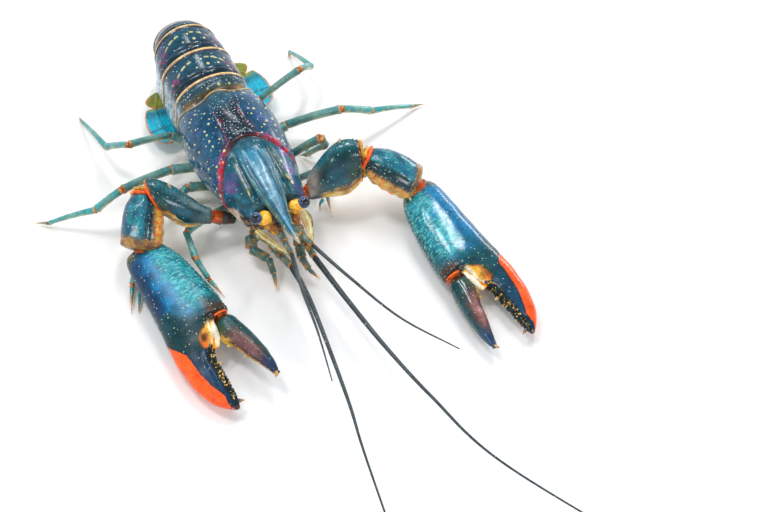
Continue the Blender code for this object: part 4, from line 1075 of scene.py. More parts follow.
def tail_plate_skin(number, look, arch_points=120):
    """One plate of the tail with its side lobes, closed at both ends."""
    start, end = SEGMENT_ENDS[number - 1] + HALF_SEGMENT_GAP, SEGMENT_ENDS[number] - HALF_SEGMENT_GAP
    length = end - start
    runs = np.linspace(0, length, max(34, int(length / 0.42)))
    rows = [tail_ring(start + run, float(tail_growth(run, length)), arch_points) for run in runs]
    rings = np.array([row[0] for row in rows])
    turn, side_plate = (by_turn(values, rings) for values in rows[0][1:])
    tint, marks = tail_paint(number, by_ring(runs, rings), length, turn, side_plate, rings, look)
    ends = []
    for row, sink in ((0, -1.0), (-1, -0.45), (-1, -1.6)):
        grow = float(tail_growth(runs[row], length)) + sink
        ends.append(tail_ring(start + runs[row], grow, arch_points)[0])
    rings = np.concatenate([ends[0][None], rings, ends[1][None], ends[2][None]])
    # The sunken rear end takes a darker copy of the last ring's tint: painted shade under the plate's rear
    # lip
    tint = np.concatenate([tint[:1], tint, tint[-1:], tint[-1:] * 0.4])
    marks = np.concatenate([marks[:1], marks, marks[-1:], marks[-1:]])
    skin = Skin()
    skin.rings(rings, tint, marks, top=18 + arch_points // 2)
    return skin


class CRAYFISH_OT_tail(bpy.types.Operator):
    """Builds the six plates of the tail, each with its side lobes and pale rear margin"""

    bl_idname = "crayfish.tail"
    bl_label = "Tail plates"

    def execute(self, context):
        look = looks(context)[0]
        finish = shell_finish("tail_shell", look, gloss=0.16, shine=0.45, relief=0.07)
        for number in range(1, 7):
            skin = tail_plate_skin(number, look)
            skin.finish(f"tail_plate_{number}", finish, "shell_blue", [f"abdomen_{number}"])
        return {"FINISHED"}


# Tints within the blades of the tail fan
FAN_DEEP, FAN_RIB, FAN_ROOT = (0.0, 0.2, 0.34), (0.0, 0.12, 0.2), (0.0, 0.05, 0.06)
FAN_BASE_SHADE, FAN_JOINT, FAN_HAIR = (0.02, 0.06, 0.01), (0.02, 0.05, 0.05), (0.5, 0.4, 0.3)
# The cross joint of a blade, as a share of its length, and how closely its ribs stand
BLADE_JOINT, RIB_RATE = 0.62, 34


def blade_skin(places, widths, thickness, tilt, look, base=False, telson=False):
    """A blade of the tail fan with fine ribs, a coloured edge and a fringe of stiff hairs."""
    count, around = (40 if base else 90), 72
    if base:
        places = [*places[:-1], np.array(places[-1]) + 0.2 * (np.array(places[-1]) - np.array(places[0]))]
        widths = [1.3 * w for w in widths]
    line = line_through(places, count)
    half = line_through([(w,) for w in widths], count)[:, 0]
    up = np.array((math.sin(tilt), 0.0, math.cos(tilt)))
    length = np.linalg.norm(np.diff(line, axis=0), axis=1).sum()
    run = np.linspace(0, length, count)
    half = half * np.where(run > length / 2, rounded_ends(run, length, 3.2), 1) * step_up(-1.2, 0.6, run)
    thick = np.linspace(thickness, 0.6 * thickness, count) / 2
    vectors = across_line(line, up)
    rings = rings_along(line, half, thick, vectors, around, BLADE_POWER)
    across, upward = oval(around, BLADE_POWER)
    out, along = by_turn(abs(across), rings), by_ring(run / length, rings)
    ribs = 0.16 * np.cos(across * RIB_RATE) * (abs(across) < 0.9) + 0.45 * bell(across, 0.1)
    joint = 0.3 * bell(along - BLADE_JOINT, 0.015)
    rings = rings + (np.sign(upward) * (ribs - joint))[..., None] * vectors[1][:, None, :]
    cloud = ripple(rings, 5, 41)
    tint = layered(
        look.fan,
        (FAN_DEEP, 0.4 * step_up(-0.2, 1.0, cloud)),
        (FAN_RIB, 0.3 * step_up(0.2, 0.9, np.cos(across * RIB_RATE)) * np.ones_like(out)),
        (FAN_ROOT, 0.6 * bell(along - 0.2, 0.1)),
        (look.olive, 0.9 * step_up(0.16, 0.04, along + 0.05 * cloud)),
    )
    if base:
        tint = layered(
            look.olive,
            (look.fan_edge, 0.35 * step_up(0.5, 1.2, cloud)),
            (FAN_BASE_SHADE, 0.6 * bell(out - 0.3, 0.3) * step_up(-0.5, 0.6, cloud)),
        )
    rim = np.maximum(step_up(0.86, 0.97, out), step_up(0.955, 0.985, along))
    skin = Skin()
    tint = layered(
        tint,
        (look.fan_edge, 0.9 * rim),
        (FAN_JOINT, 0.8 * bell(along - BLADE_JOINT, 0.012) * (not base)),
    )
    skin.rings(rings, tint, (0.0, 0.08, 0.0))
    if not base:
        draw = np.random.default_rng(int(abs(places[0][0]) * 10) + int(telson))
        side, ahead = vectors[0], unit(np.gradient(line, axis=0))
        hair = mix(look.fan_edge, FAN_HAIR, 0.3)
        for i in range(count // 3, count):
            for edge in (-1, 1):
                root = line[i] + side[i] * half[i] * edge * 0.97
                lean = ahead[i] * (1.0 + 2.0 * i / count) + side[i] * edge
                skin.bristle(root, lean, draw.uniform(0.9, 1.5), 0.09, hair)
    return skin


class CRAYFISH_OT_tail_fan(bpy.types.Operator):
    """Builds the five blades of the tail fan and their bases, ribbed and fringed"""

    bl_idname = "crayfish.tail_fan"
    bl_label = "Tail fan"

    def execute(self, context):
        look = looks(context)[2]
        finish = shell_finish("fan_blade", look, gloss=0.26, shine=0.3, relief=0.1, uneven=0.6)
        places, widths, thickness = TELSON_BLADE
        placed = [(FAN_SWAY + x, y, z) for x, y, z in places]
        blade_skin(placed, widths, thickness, 0.0, look, telson=True).finish(
            "telson_blade", finish, "fan_cyan", ["telson"]
        )
        for side, side_name in SIDES.items():
            for name, (places, widths, thickness) in SIDE_BLADES.items():
                placed = [(FAN_SWAY + side * x, y, z) for x, y, z in places]
                skin = blade_skin(placed, widths, thickness, -side * 0.08, look, base=name == "uropod_base")
                nodes = [f"{name}_{side_name}"]
                skin.finish(f"{name}_{side_name}_blade", finish, "fan_cyan", nodes)
        return {"FINISHED"}


# ---- Jointed limbs ----------------------------------------------------------------------------------


def add_article(
    skin, near, far, near_radius, far_radius, look,
    under=0.9, ring=0.8, bow=0.03, tip=0.0, patchy=0.3, tints=None,
):
    """One length of a limb between joints: slim, swollen at its far end, with a rusty ring there.

    under is how much of its paler lower face shows, ring and tip are the lengths of its far ring and of a
    pointed end, and tints are those of its upper face, lower face and ring."""
    near, far, around = np.array(near, float), np.array(far, float), 24
    above, below, joint = tints or (look.leg, look.leg_under, look.ring)
    length = np.linalg.norm(far - near)
    count = max(16, int(length / 0.5))
    share = np.linspace(0, 1, count)
    line = near + np.outer(share, far - near) + np.outer(bow * length * np.sin(math.pi * share), UP)
    run = share * length
    radius = near_radius + (far_radius - near_radius) * share
    radius = radius * (1 + 0.13 * bell(run - (length - 1.2), 1.1) - 0.05 * bell(share - 0.35, 0.3))
    if tip:
        radius = radius * np.where(run < length / 2, rounded_ends(run, length, near_radius), 1)
        radius = np.maximum(radius * (1 - 0.86 * step_up(length - tip, length, run)), 0.06)
    else:
        radius = radius * rounded_ends(run, length, min(0.45 * near_radius, 0.45 * length))
    vectors = carried_frame(line)
    rings = rings_along(line, radius, radius, vectors, around, LIMB_POWER)
    facing = outward_from(line, rings)[..., 2]
    cloud = ripple(rings, 5, 51)
    runs = by_ring(run, rings)
    tint = layered(
        below,
        (above, step_up(-0.5, 0.45, facing + patchy * cloud) * under + (1 - under)),
        (below, 0.25 * bell(share - 0.5, 0.25)[:, None] * under),
    )
    joint = mix(joint, look.tip, step_up(-0.4, 0.7, ripple(rings, 1.8, 53)))
    if tip:
        tint = mix(tint, look.tip, step_up(length - 1.2 * tip, length - 0.3 * tip, runs))
    elif ring:
        tint = mix(tint, joint, step_up(length - ring - 0.4, length - ring, runs))
    tint = mix(tint, joint, 0.6 * step_up(0.7, 0.2, runs) * bool(ring))
    skin.rings(rings, tint, (0.3, 0.12, 0.0))
    return line, radius


def add_hairs(skin, line, radius, tint, each, seed, length=1.3, width=0.07):
    """A sparse row of stiff hairs down both sides of a length of limb."""
    draw = np.random.default_rng(seed)
    side, over = carried_frame(line)
    ahead = unit(np.gradient(line, axis=0))
    for i in range(2, len(line) - 1, each):
        for edge in (-1, 1):
            turn = draw.uniform(-0.7, 0.7)
            out = edge * side[i] * math.cos(turn) + over[i] * math.sin(turn)
            root = line[i] + out * radius[i] * 0.9
            skin.bristle(root, out + 0.8 * ahead[i], length * draw.uniform(0.6, 1.2), width, tint)


# Numbers of a limb's pointed last length, and of the one that carries a small claw's movable finger
LAST_JOINT, WRIST_JOINT = 4, 3


def walking_leg_skin(name, joints, look):
    """One walking leg: hard lengths with soft skin between them, and hairs on all but the first two."""
    skin = Skin()
    radii = LEG_RADII[name]
    for part in range(LAST_JOINT + 1):
        near, far = np.array(joints[part], float), np.array(joints[part + 1], float)
        gap = 0.25 if part else 0.0
        run = unit(far - near)
        if name in SMALL_FINGERS and part == WRIST_JOINT:
            far = far - run * 0.5
        near_radius = radii[part] * (0.92 if part else 1.0)
        tip = 0.75 * np.linalg.norm(far - near) if part == LAST_JOINT else 0.0
        root_tints = (mix(look.leg, look.ring, 0.15), look.leg_under, look.ring) if part < 2 else None
        line, radius = add_article(
            skin, near + run * gap, far, near_radius, radii[part + 1], look, tip=tip, tints=root_tints
        )
        if part:
            puff = near + run * 0.1
            width = radii[part] * 0.84
            add_article(skin, puff - run * 0.8, puff + run * 0.9, width, width, look, ring=3.0)
        if part >= 2:
            add_hairs(skin, line, radius, mix(look.tip, look.leg_under, 0.4), 4, 60 + part)
    return skin


def small_finger_skin(name, side, look):
    """The movable finger of a small claw."""
    skin = Skin()
    points = SMALL_FINGERS[name][side]
    line = line_through(points, 26)
    share = np.linspace(0, 1, 26)
    radius = 0.85 * np.sqrt(np.clip(1.02 - share, 0, 1)) * step_up(-0.25, 0.06, share)
    rings = rings_along(line, radius, radius, carried_frame(line), 16, LIMB_POWER)
    tint = mix(look.leg, look.tip, step_up(0.45, 0.9, share))[:, None, :]
    skin.rings(rings, np.repeat(tint, 16, axis=1), (0.2, 0.3, 0.2))
    add_hairs(skin, line, radius, look.tip, 4, 77, length=0.8, width=0.05)
    return skin


class CRAYFISH_OT_walking_legs(bpy.types.Operator):
    """Builds the eight walking legs, jointed, ringed and haired; the front four end in small claws"""

    bl_idname = "crayfish.walking_legs"
    bl_label = "Walking legs"

    def execute(self, context):
        look = looks(context)[2]
        finish = shell_finish("leg_shell", look, gloss=0.18, shine=0.4, relief=0.1, uneven=0.6)
        for name, sides in WALKING_LEGS.items():
            for side, joints in sides.items():
                side_name = SIDES[side]
                skin = walking_leg_skin(name, joints, look)
                skin.finish(f"{name}_{side_name}_shell", finish, "leg_teal", [f"{name}_{side_name}"])
                if name in SMALL_FINGERS:
                    finger = f"{name}_finger_{side_name}"
                    skin = small_finger_skin(name, side, look)
                    skin.finish(f"{finger}_shell", finish, "leg_teal", [finger])
        return {"FINISHED"}


class CRAYFISH_OT_maxillipeds(bpy.types.Operator):
    """Builds the pair of bristly mouth limbs under the head"""

    bl_idname = "crayfish.maxillipeds"
    bl_label = "Mouth limbs"

    def execute(self, context):
        look = looks(context)[2]
        finish = shell_finish("leg_shell", look)
        for side, joints in MAXILLIPED_LINES.items():
            skin = Skin()
            for part in range(LAST_JOINT + 1):
                near, far = np.array(joints[part], float), np.array(joints[part + 1], float)
                tip = 0.6 * np.linalg.norm(far - near) if part == LAST_JOINT else 0.0
                first, last = MAXILLIPED_RADII[part], MAXILLIPED_RADII[part + 1]
                tints = (np.array(look.leg) * 0.5, np.array(look.tip) * (0.75, 0.9, 0.8), look.ring)
                line, radius = add_article(
                    skin, near - unit(far - near) * 0.7, far, first, last, look,
                    tip=tip, ring=0.6, under=1.0, patchy=0.9, tints=tints,
                )
                if part > 1:
                    hair = mix(look.tip, look.scale, 0.5)
                    add_hairs(skin, line, radius, hair, 1, 90 + part, length=1.8, width=0.07)
            name = f"maxilliped_{SIDES[side]}"
            skin.finish(f"{name}_shell", finish, "leg_teal", [name])
        return {"FINISHED"}


# ---- Eyes and feelers -------------------------------------------------------------------------------

# Tints of an eye from its middle outwards, where EYE_GLINT is a painted reflection ring, the gold of its
# stalk, and the way that each eye looks
PUPIL, EYE_HALO, EYE_GLINT = (0.001, 0.002, 0.008), (0.03, 0.1, 0.24), (0.4, 0.55, 0.75)
EYE_BAND, EYE_ROOT, STALK_GOLD = (0.006, 0.015, 0.06), (0.75, 0.7, 0.5), (0.95, 0.72, 0.2)
EYE_GAZE = {RIGHT: (-0.42, -0.55, 0.72), LEFT: (0.1, -0.6, 0.78)}


def eye_skins(side, look, around=48):
    """The stout puckered stalk, and the ball: dark, with a paler ring, a painted reflection ring and a pale
    root.
    """
    root, tip, centre = (np.array(p, float) for p in EYES[side])
    socket = centre - unit(centre - tip) * 0.6
    line = line_through([root, (root + tip) / 2, tip, socket], 40)
    share = np.linspace(0, 1, 40)
    length = np.linalg.norm(np.diff(line, axis=0), axis=1).sum()
    half = level_through([(0, 2.1), (0.2, 2.9), (0.4, 3.25), (0.65, 3.0), (0.85, 2.5), (1, 2.2)], share)
    half = half * rounded_ends(share * length, length, 1.2)
    rings = rings_along(line, half, half, carried_frame(line), 40, LIMB_POWER)
    rings = raised(rings, outward_from(line, rings), 0.12 * ripple(rings, 2.2, 17))
    stalk = Skin()
    tint = layered(
        look.stalk,
        (look.tip, 0.5 * step_up(0.2, 1.2, ripple(rings, 2.0, 19))),
        (STALK_GOLD, 0.5 * step_up(0.3, 1.1, ripple(rings, 1.6, 23))),
        (look.ring * np.array(0.5), step_up(0.2, 0.0, share)[:, None] * np.ones(40)),
    )
    stalk.rings(rings, tint)
    turns = np.linspace(0.06, math.pi - 0.06, around)
    gaze = unit(np.array(EYE_GAZE[side]))
    line = centre - np.outer(np.cos(turns) * EYE_RADIUS, gaze)
    width = EYE_RADIUS * np.sin(turns)
    side_way = unit(np.cross(gaze, UP))
    vectors = same_frame(line, side_way, np.cross(side_way, gaze))
    ball_rings = rings_along(line, width, width, vectors, around, 2.0)
    from_gaze = np.degrees(math.pi - turns)
    ball = Skin()
    tint = layered(
        PUPIL,
        (look.eye, step_up(22, 44, from_gaze)),
        (EYE_HALO, 0.6 * bell(from_gaze - 56, 6)),
        # Painted reflection: a thin pale ring on the ball
        (EYE_GLINT, 0.75 * bell(from_gaze - 70, 3.5)),
        (EYE_BAND, 0.9 * step_up(75, 81, from_gaze) * step_up(106, 100, from_gaze)),
        (EYE_ROOT, step_up(104, 112, from_gaze)),
    )
    ball.rings(ball_rings, np.repeat(tint[:, None, :], around, axis=1))
    return stalk, ball


# Line of the lumps on the animal's left
BROW_LINE = [
    (7.0, -67.5, 30.2), (6.2, -70.2, 31.2), (5.2, -72.8, 31.4), (4.8, -75.2, 31.2), (4.4, -77.4, 30.8),
]


def brow_skin(side, look):
    """Bristly brown and golden lumps between an eye stalk and the roots of the feelers."""
    skin = Skin()
    gold, brown, rust = np.array(look.stalk) * 0.8, np.array(look.tip) * 0.45, np.array(look.ring) * 0.8
    for shift, radii, tints in (
        ((0, 0, 0), (1.0, 1.7, 1.3, 1.5, 0.8), (brown, gold, brown, rust, brown)),
        ((1.6, 1.2, -1.6), (1.2, 1.6, 1.8, 1.3, 0.8), (brown, rust, gold, brown, gold)),
    ):
        points = [((x + shift[0]) * side, y + shift[1], z + shift[2]) for x, y, z in BROW_LINE]
        add_roll(skin, points, radii, tints, count=60, around=24, lumps=0.22)
    draw = np.random.default_rng(143 + side)
    for _ in range(26):
        root = np.array((draw.uniform(4.4, 8.0) * side, draw.uniform(-78, -68.5), draw.uniform(30.6, 32.2)))
        run = (side * draw.uniform(0.0, 0.8), -1.0, draw.uniform(-0.2, 0.7))
        length, chance = draw.uniform(1.4, 2.6), draw.uniform()
        skin.bristle(root, run, length, 0.09, look.scale if chance < 0.5 else look.tip)
    return skin


class CRAYFISH_OT_eyes(bpy.types.Operator):
    """Builds both eyes on their stout yellow stalks, and the bristly lumps beside them"""

    bl_idname = "crayfish.eyes"
    bl_label = "Eyes"

    def execute(self, context):
        look = looks(context)[2]
        stalk_finish = shell_finish("stalk_skin", look, gloss=0.25, relief=0.3, soft=0.15)
        ball_finish = shell_finish("eye_glass", look, gloss=0.03, shine=0.7, relief=0.0, uneven=0.3)
        for side, name in SIDES.items():
            stalk, ball = eye_skins(side, look)
            stalk.finish(f"eye_stalk_{name}_skin", stalk_finish, "stalk_yellow", [f"eye_stalk_{name}"])
            ball.finish(f"eye_{name}_ball", ball_finish, "eye_dark", [f"eye_{name}"])
            brow_skin(side, look).finish(f"brow_{name}_lumps", stalk_finish, "stalk_yellow")
        return {"FINISHED"}


def whip_skin(points, radii, pitch, look):
    """A long tapering feeler of many short rings, dark at its root."""
    rough = line_through(points, 60)
    length = np.linalg.norm(np.diff(rough, axis=0), axis=1).sum()
    count = int(length / pitch) * 4
    line = line_through(points, count)
    share = np.linspace(0, 1, count)
    beat = 0.5 + 0.5 * np.cos(np.arange(count) * math.pi / 2)
    radius = (radii[0] + (radii[1] - radii[0]) * share) * (1 + 0.07 * beat)
    radius = radius * (1 - 0.9 * step_up(0.995, 1.0, share))
    rings = rings_along(line, radius, radius, carried_frame(line), 10, 2.0)
    skin = Skin()
    tint = layered(
        np.array(look.feeler) * 0.55,
        (look.feeler, step_up(0.0, 0.12, share)),
        # Each ring's swell is lighter: partly paler ring colour, partly a painted highlight
        (np.array(look.feeler) * 1.5 + 0.03, 0.6 * beat * step_up(0.02, 0.2, share)),
    )
    skin.rings(rings, np.repeat(tint[:, None, :], 10, axis=1), (0.0, 0.1, 0.0))
    return skin


def peduncle_skin(points, widths, look):
    """The three short joints at a feeler's root, ringed in rust, with a spine beside the second."""
    skin = Skin()
    line = line_through(points, 7)
    stops = (0, 2, 4, 6)
    for near, far in zip(stops, stops[1:]):
        tints = (np.array(look.leg) * (0.8, 0.45, 0.4), np.array(look.tip) * (0.8, 0.9, 0.7), look.ring)
        add_article(
            skin, line[near], line[far], widths[near], widths[far], look,
            ring=0.5, bow=0.0, under=1.0, patchy=0.9, tints=tints,
        )
    outward = np.array((math.copysign(1.0, line[2][0]), -0.7, 0.1))
    skin.thorn(line[2] + unit(outward) * widths[2] * 0.8, outward, 2.0, 0.5, look.leg, look.scale)
    return skin


# Half widths of the leaf-shaped scale by point along it, and its tints
SCALE_HALF_WIDTH = [(0, 1.5), (8, 1.9), (18, 2.2), (30, 2.2), (40, 1.8), (50, 1.2), (59, 0.2)]
SCALE_GREEN, SCALE_EDGE, SCALE_BLOOM = (0.35, 0.42, 0.08), (0.04, 0.1, 0.03), (0.9, 0.85, 0.62)


def scale_skin(side, look):
    """The leaf-shaped scale beside a feeler: cream, keeled, with a green inner edge and a toothed tip."""
    tip = (-3.9, -86.2, 24.4) if side == RIGHT else (8.3, -84.4, 24.4)
    bend = -9.6 if side == RIGHT else 11.0
    line = line_through([(side * 11.6, -67.6, 24.6), (bend, -73.8, 25.0), tip], 60)
    half = level_through(SCALE_HALF_WIDTH, np.arange(60))
    vectors = across_line(line)
    rings = rings_along(line, half, 0.5 + 0 * half, vectors, 40, BLADE_POWER)
    across, upward = oval(40, BLADE_POWER)
    rings[:, :, 2] += (0.3 * bell(across - 0.2, 0.16) - 0.14 * bell(across - 0.5, 0.12)) * (upward > 0)
    inner = by_turn(-across * side, rings)
    cloud = ripple(rings, 3, 27)
    skin = Skin()
    tint = layered(
        look.scale,
        (SCALE_GREEN, 0.7 * bell(inner + 0.1, 0.2)),
        (SCALE_EDGE, 0.85 * step_up(0.35, 0.7, inner + 0.15 * cloud)),
        (look.tip, 0.7 * step_up(-0.8, -0.95, inner)),
        (SCALE_BLOOM, 0.5 * step_up(0.2, 1.0, cloud)),
    )
    skin.rings(rings, tint, (0, 0.15, 0))
    ahead = unit(np.gradient(line, axis=0))
    for i in range(14, 58):
        root = line[i] + vectors[0][i] * half[i] * 0.95 * -side
        skin.bristle(root, ahead[i] - vectors[0][i] * side * 0.9, 1.1, 0.06, look.scale)
    skin.thorn(line[50] + vectors[0][50] * side * half[50], ahead[50], 2.0, 0.4, look.scale, look.tip)
    return skin


# Feelers: lines, radii at root and tip, length of a ring, the first joints of the root, how far the root
# reaches over the feeler's start, and the root's radii
FEELERS = {
    "antenna": (
        ANTENNA_LINES, (1.4, 0.3), 1.15, [(7.2, -71.8, 17.8), (6.7, -78, 18.2)],
        0.7, (2.0, 2.1, 1.9, 1.9, 1.8, 1.8, 1.5),
    ),
    "antennule": (
        ANTENNULE_LINES, (0.95, 0.25), 0.9, [(3.2, -71.2, 29.0), (3.7, -79, 29.4)],
        0.4, (1.8, 1.9, 1.7, 1.7, 1.5, 1.5, 1.1),
    ),
}


class CRAYFISH_OT_feelers(bpy.types.Operator):
    """Builds the antennae, the antennules, their jointed roots and the cream scales beside them"""

    bl_idname = "crayfish.feelers"
    bl_label = "Feelers"

    def execute(self, context):
        look = looks(context)[2]
        whip = shell_finish("feeler_shell", look, gloss=0.3, relief=0.15)
        leg = shell_finish("leg_shell", look)
        cream = shell_finish("scale_shell", look, gloss=0.3, relief=0.12, uneven=0.35)
        for side, name in SIDES.items():
            scale = f"antennal_scale_{name}"
            scale_skin(side, look).finish(f"{scale}_leaf", cream, "scale_cream", [scale])
            for kind, (lines, radii, pitch, joints, overlap, widths) in FEELERS.items():
                start = np.array(lines[side][0])
                points = [(side * x, y, z) for x, y, z in joints]
                root = peduncle_skin([*points, start + (0, overlap, 0)], widths, look)
                base, whole = f"{kind}_base_{name}", f"{kind}_{name}"
                root.finish(f"{base}_joints", leg, "leg_teal", [base])
                skin = whip_skin(lines[side], radii, pitch, look)
                skin.finish(f"{whole}_whip", whip, "feeler_grey", [whole])
        return {"FINISHED"}


# ---- Arms of the great claws ------------------------------------------------------------------------


def add_roll(skin, points, widths, tints, count=70, around=18, seed=97, lumps=0.12):
    """A soft roll of skin along a line; widths and tints are given at even steps along it."""
    line = line_through(points, count)
    radius = line_through([(w,) for w in widths], count)[:, 0]
    rings = rings_along(line, radius, radius, carried_frame(line), around, 2.0)
    height = lumps * np.minimum(radius, 1.0)[:, None] * ripple(rings, 2.2, seed)
    rings = raised(rings, outward_from(line, rings), height)
    tint = line_through(tints, count)[:, None, :] * (1 + 0.12 * ripple(rings, 1.6, seed + 1))[..., None]
    skin.rings(rings, np.clip(tint, 0, 1))


def ischium_skin(side, pose, look):
    """The short first joint: dark above, rusty where it meets the second."""
    hip, knee = np.array(pose["hip"]), np.array(pose["knee"])
    reach = unit(knee - hip) * (0.2 if side == RIGHT else 1.6)
    if side == RIGHT:
        hip = hip + (knee - hip) * 0.1 + (1.2, 1.6, 1.0)
    line = line_through([hip, (hip + knee) / 2, knee - reach], 60)
    share = np.linspace(0, 1, 60)
    wide = level_through([(0, 2.4), (0.33, 3.0), (0.66, 3.5), (1, 3.0)], share)
    length = np.linalg.norm(line[-1] - line[0])
    dome = rounded_ends(share * length, length, 1.0)
    ridge = 1 + 0.05 * bell(share - 0.7, 0.05) - 0.06 * bell(share - 0.6, 0.05)
    rings = rings_along(line, wide * dome * ridge, wide * 0.82 * dome * ridge, across_line(line), 48, 2.2)
    facing = outward_from(line, rings)[..., 2]
    cloud, small = ripple(rings, 4, 61), ripple(rings, 1.8, 62)
    shares = by_ring(share, rings)
    skin = Skin()
    tint = layered(
        look.umber,
        (look.teal, step_up(-0.4, 0.7, cloud)),
        (look.rust, 0.6 * step_up(0.5, 0.75, shares + 0.08 * small) * step_up(-0.5, 0.2, facing)),
        (look.membrane, 0.4 * bell(shares - 0.9, 0.04) * step_up(-0.4, 0.5, facing)),
        (look.pale, 0.6 * step_up(-0.35, -0.8, facing)),
    )
    skin.rings(rings, tint, (0.1, 0.2, 0))
    return skin


def merus_frame(side, pose):
    """The second joint's two ends, its run, and the directions of its rear face and of its depth."""
    knee, end = np.array(pose["knee"]), np.array(pose["merus_end"])
    run = unit(end - knee)
    back = unit(np.cross(UP, run)) * side
    blade = UP * math.cos(MERUS_LEAN) + back * math.sin(MERUS_LEAN)
    before, beyond = MERUS_SHAPES[side]["reach"]
    return knee - run * before, end + run * beyond, run, back, blade


def merus_paint(s, u, front, run_length, points, side, look):
    """Tint and marking shares of the second joint; u runs from its lower edge, -1, to its comb, 1."""
    cloud, small = ripple(points, 7, 73), ripple(points, 2.2, 75)
    middle = bell(s - 0.5, 0.27) * bell(u - (0.3 if side == RIGHT else -0.05), 0.36)
    comb = 0.5 + 0.5 * np.sin(s * run_length * 2 * math.pi / 1.3 + 3 * u)
    near = step_up(0.34, 0.04, s + 0.03 * cloud)
    bloom = np.array(look.pale) * ((1.45, 1.1, 1.0) if side == LEFT else 1.0)
    lower = step_up(0.1, 0.24, s) * step_up(-0.2, 0.3, front)
    lobe_edge = -0.5 + (0.42 * bell(s - 0.74, 0.19) if side == RIGHT else 0.06)
    lobe = step_up(lobe_edge, lobe_edge - 0.08, u + 0.04 * small) * step_up(0.16, 0.32, s)
    yellow = layered(
        look.belly,
        (look.tooth, step_up(0.0, 1.0, small)),
        (look.rust, 0.55 * step_up(0.5, 0.9, s + 0.12 * cloud) * step_up(-0.9, -0.6, u)),
    )
    spots = 0.14 * (1 - lobe) * step_up(0.3, 0.5, s)
    tint = layered(
        mix(look.teal, look.shade, 0.35),
        (look.navy, 0.25 * step_up(-0.2, 0.9, cloud)),
        (look.deep_blue, 0.68 * middle * (0.8 + 0.2 * small)),
        (look.arm, 0.5 * bell(s - 0.55, 0.2) * bell(u + 0.3, 0.14) * (side == LEFT)),
        (look.moss, 0.8 * bell(s - 0.84, 0.13) * bell(u + 0.15, 0.45)),
        (look.arm, 0.65 * step_up(0.72, 0.95, u) * (0.4 + 0.6 * comb)),
        (bloom, (0.55 if side == LEFT else 0.13) * near * step_up(-0.7, -0.1, u)),
        (look.pale, 0.3 * step_up(0.62, 0.9, u) * bell(s - 0.3, 0.22) * (side == RIGHT)),
        (look.shade, 0.8 * bell(u + 0.44, 0.09) * lower),
        (yellow, 0.95 * lobe),
        (look.umber, 0.6 * bell(u + 0.58, 0.05) * lower),
        (mix(look.umber, look.rust, step_up(-0.3, 0.6, small)), 0.9 * step_up(0.93, 0.955, s)),
        (look.membrane, step_up(0.978, 0.99, s)),
    )
    return tint, np.stack([spots, 0.06 * (1 - lobe), 0 * spots], -1)


def merus_skin(side, pose, look, count=112, around=104):
    """The deep second joint of the arm: comb of teeth above, beaded yellow lobe below."""
    near, far, run, back, blade = merus_frame(side, pose)
    shape = MERUS_SHAPES[side]
    share = np.linspace(0, 1, count)
    length = np.linalg.norm(far - near)
    tables = (MERUS_HALF_WIDTHS, shape["high"], shape["lift"])
    wide, high, lift = (even_steps(values, share) for values in tables)
    line = near + np.outer(share, far - near) + np.outer(3.2 * share * (1 - share), UP)
    line = line + np.outer(lift, blade)
    dome = rounded_ends(share * length, length, 1.3)
    side_way = unit(np.cross(run, blade))
    vectors = same_frame(line, side_way, blade)
    rings = rings_along(line, wide * dome, high * dome, vectors, around, MERUS_POWER)
    across, upward = oval(around, MERUS_POWER)
    s, u = by_ring(share, rings), by_turn(upward, rings)
    front = by_turn(across * np.sign(side_way @ -back), rings)
    outward = outward_from(line, rings)
    relief = 0.12 * ripple(rings, 7, 71) - 0.3 * bell(s - 0.92, 0.016) + 0.2 * bell(s - 0.96, 0.02)
    relief = relief - 0.55 * bell(u + 0.5, 0.1) * step_up(0.1, 0.3, s) * step_up(0, 0.4, front)
    relief = relief + 0.5 * bell(s - 0.62, 0.26) * bell(u + 0.78, 0.16)
    rings = raised(rings, outward, relief)
    rings = rings + run * (shape["slant"] * u * step_up(0.45, 1.0, s))[..., None]
    tint, marks = merus_paint(s, u, front, length, rings, side, look)
    skin = Skin()
    skin.rings(rings, tint, marks)
    draw = np.random.default_rng(81)
    for t in np.arange(0.12, 0.93, 0.036):
        i = int(t * (count - 1))
        size = draw.uniform(0.75, 1.25)
        root = rings[i, around // 4] - blade * 0.3 + back * draw.uniform(-0.3, 0.3)
        skin.thorn(root, blade + run * 0.9, 1.0 * size, 0.5 * size, look.teal, look.arm)
    low_front = int(round((math.pi + math.asin(0.5)) / (2 * math.pi) * around))
    if side_way @ -back > 0:
        low_front = (around + around // 2 - low_front) % around
    for t in np.arange(0.16, 0.95, 0.026):
        i = int(t * (count - 1))
        size = draw.uniform(0.7, 1.2)
        root = rings[i, low_front] - outward[i, low_front] * 0.15
        skin.thorn(root, outward[i, low_front] + blade * 0.2, 0.55 * size, 0.36 * size, look.arm, look.pale)
    spine = rings[int(0.66 * count), around // 4] - blade * 1.6
    skin.thorn(spine, blade + run * 0.3, 4.0, 1.5, look.teal, look.tooth, around=14)
    return skin


def carpus_frame(side, pose):
    """The third joint's two ends, its run, and the direction of its inner side."""
    shifts = np.array(CARPUS_SHIFT[side])
    start, end = np.array(pose["carpus_start"]) + shifts[0], np.array(pose["carpus_end"]) + shifts[1]
    run = unit(end - start)
    return start, end, run, unit(np.cross(run, UP)) * side


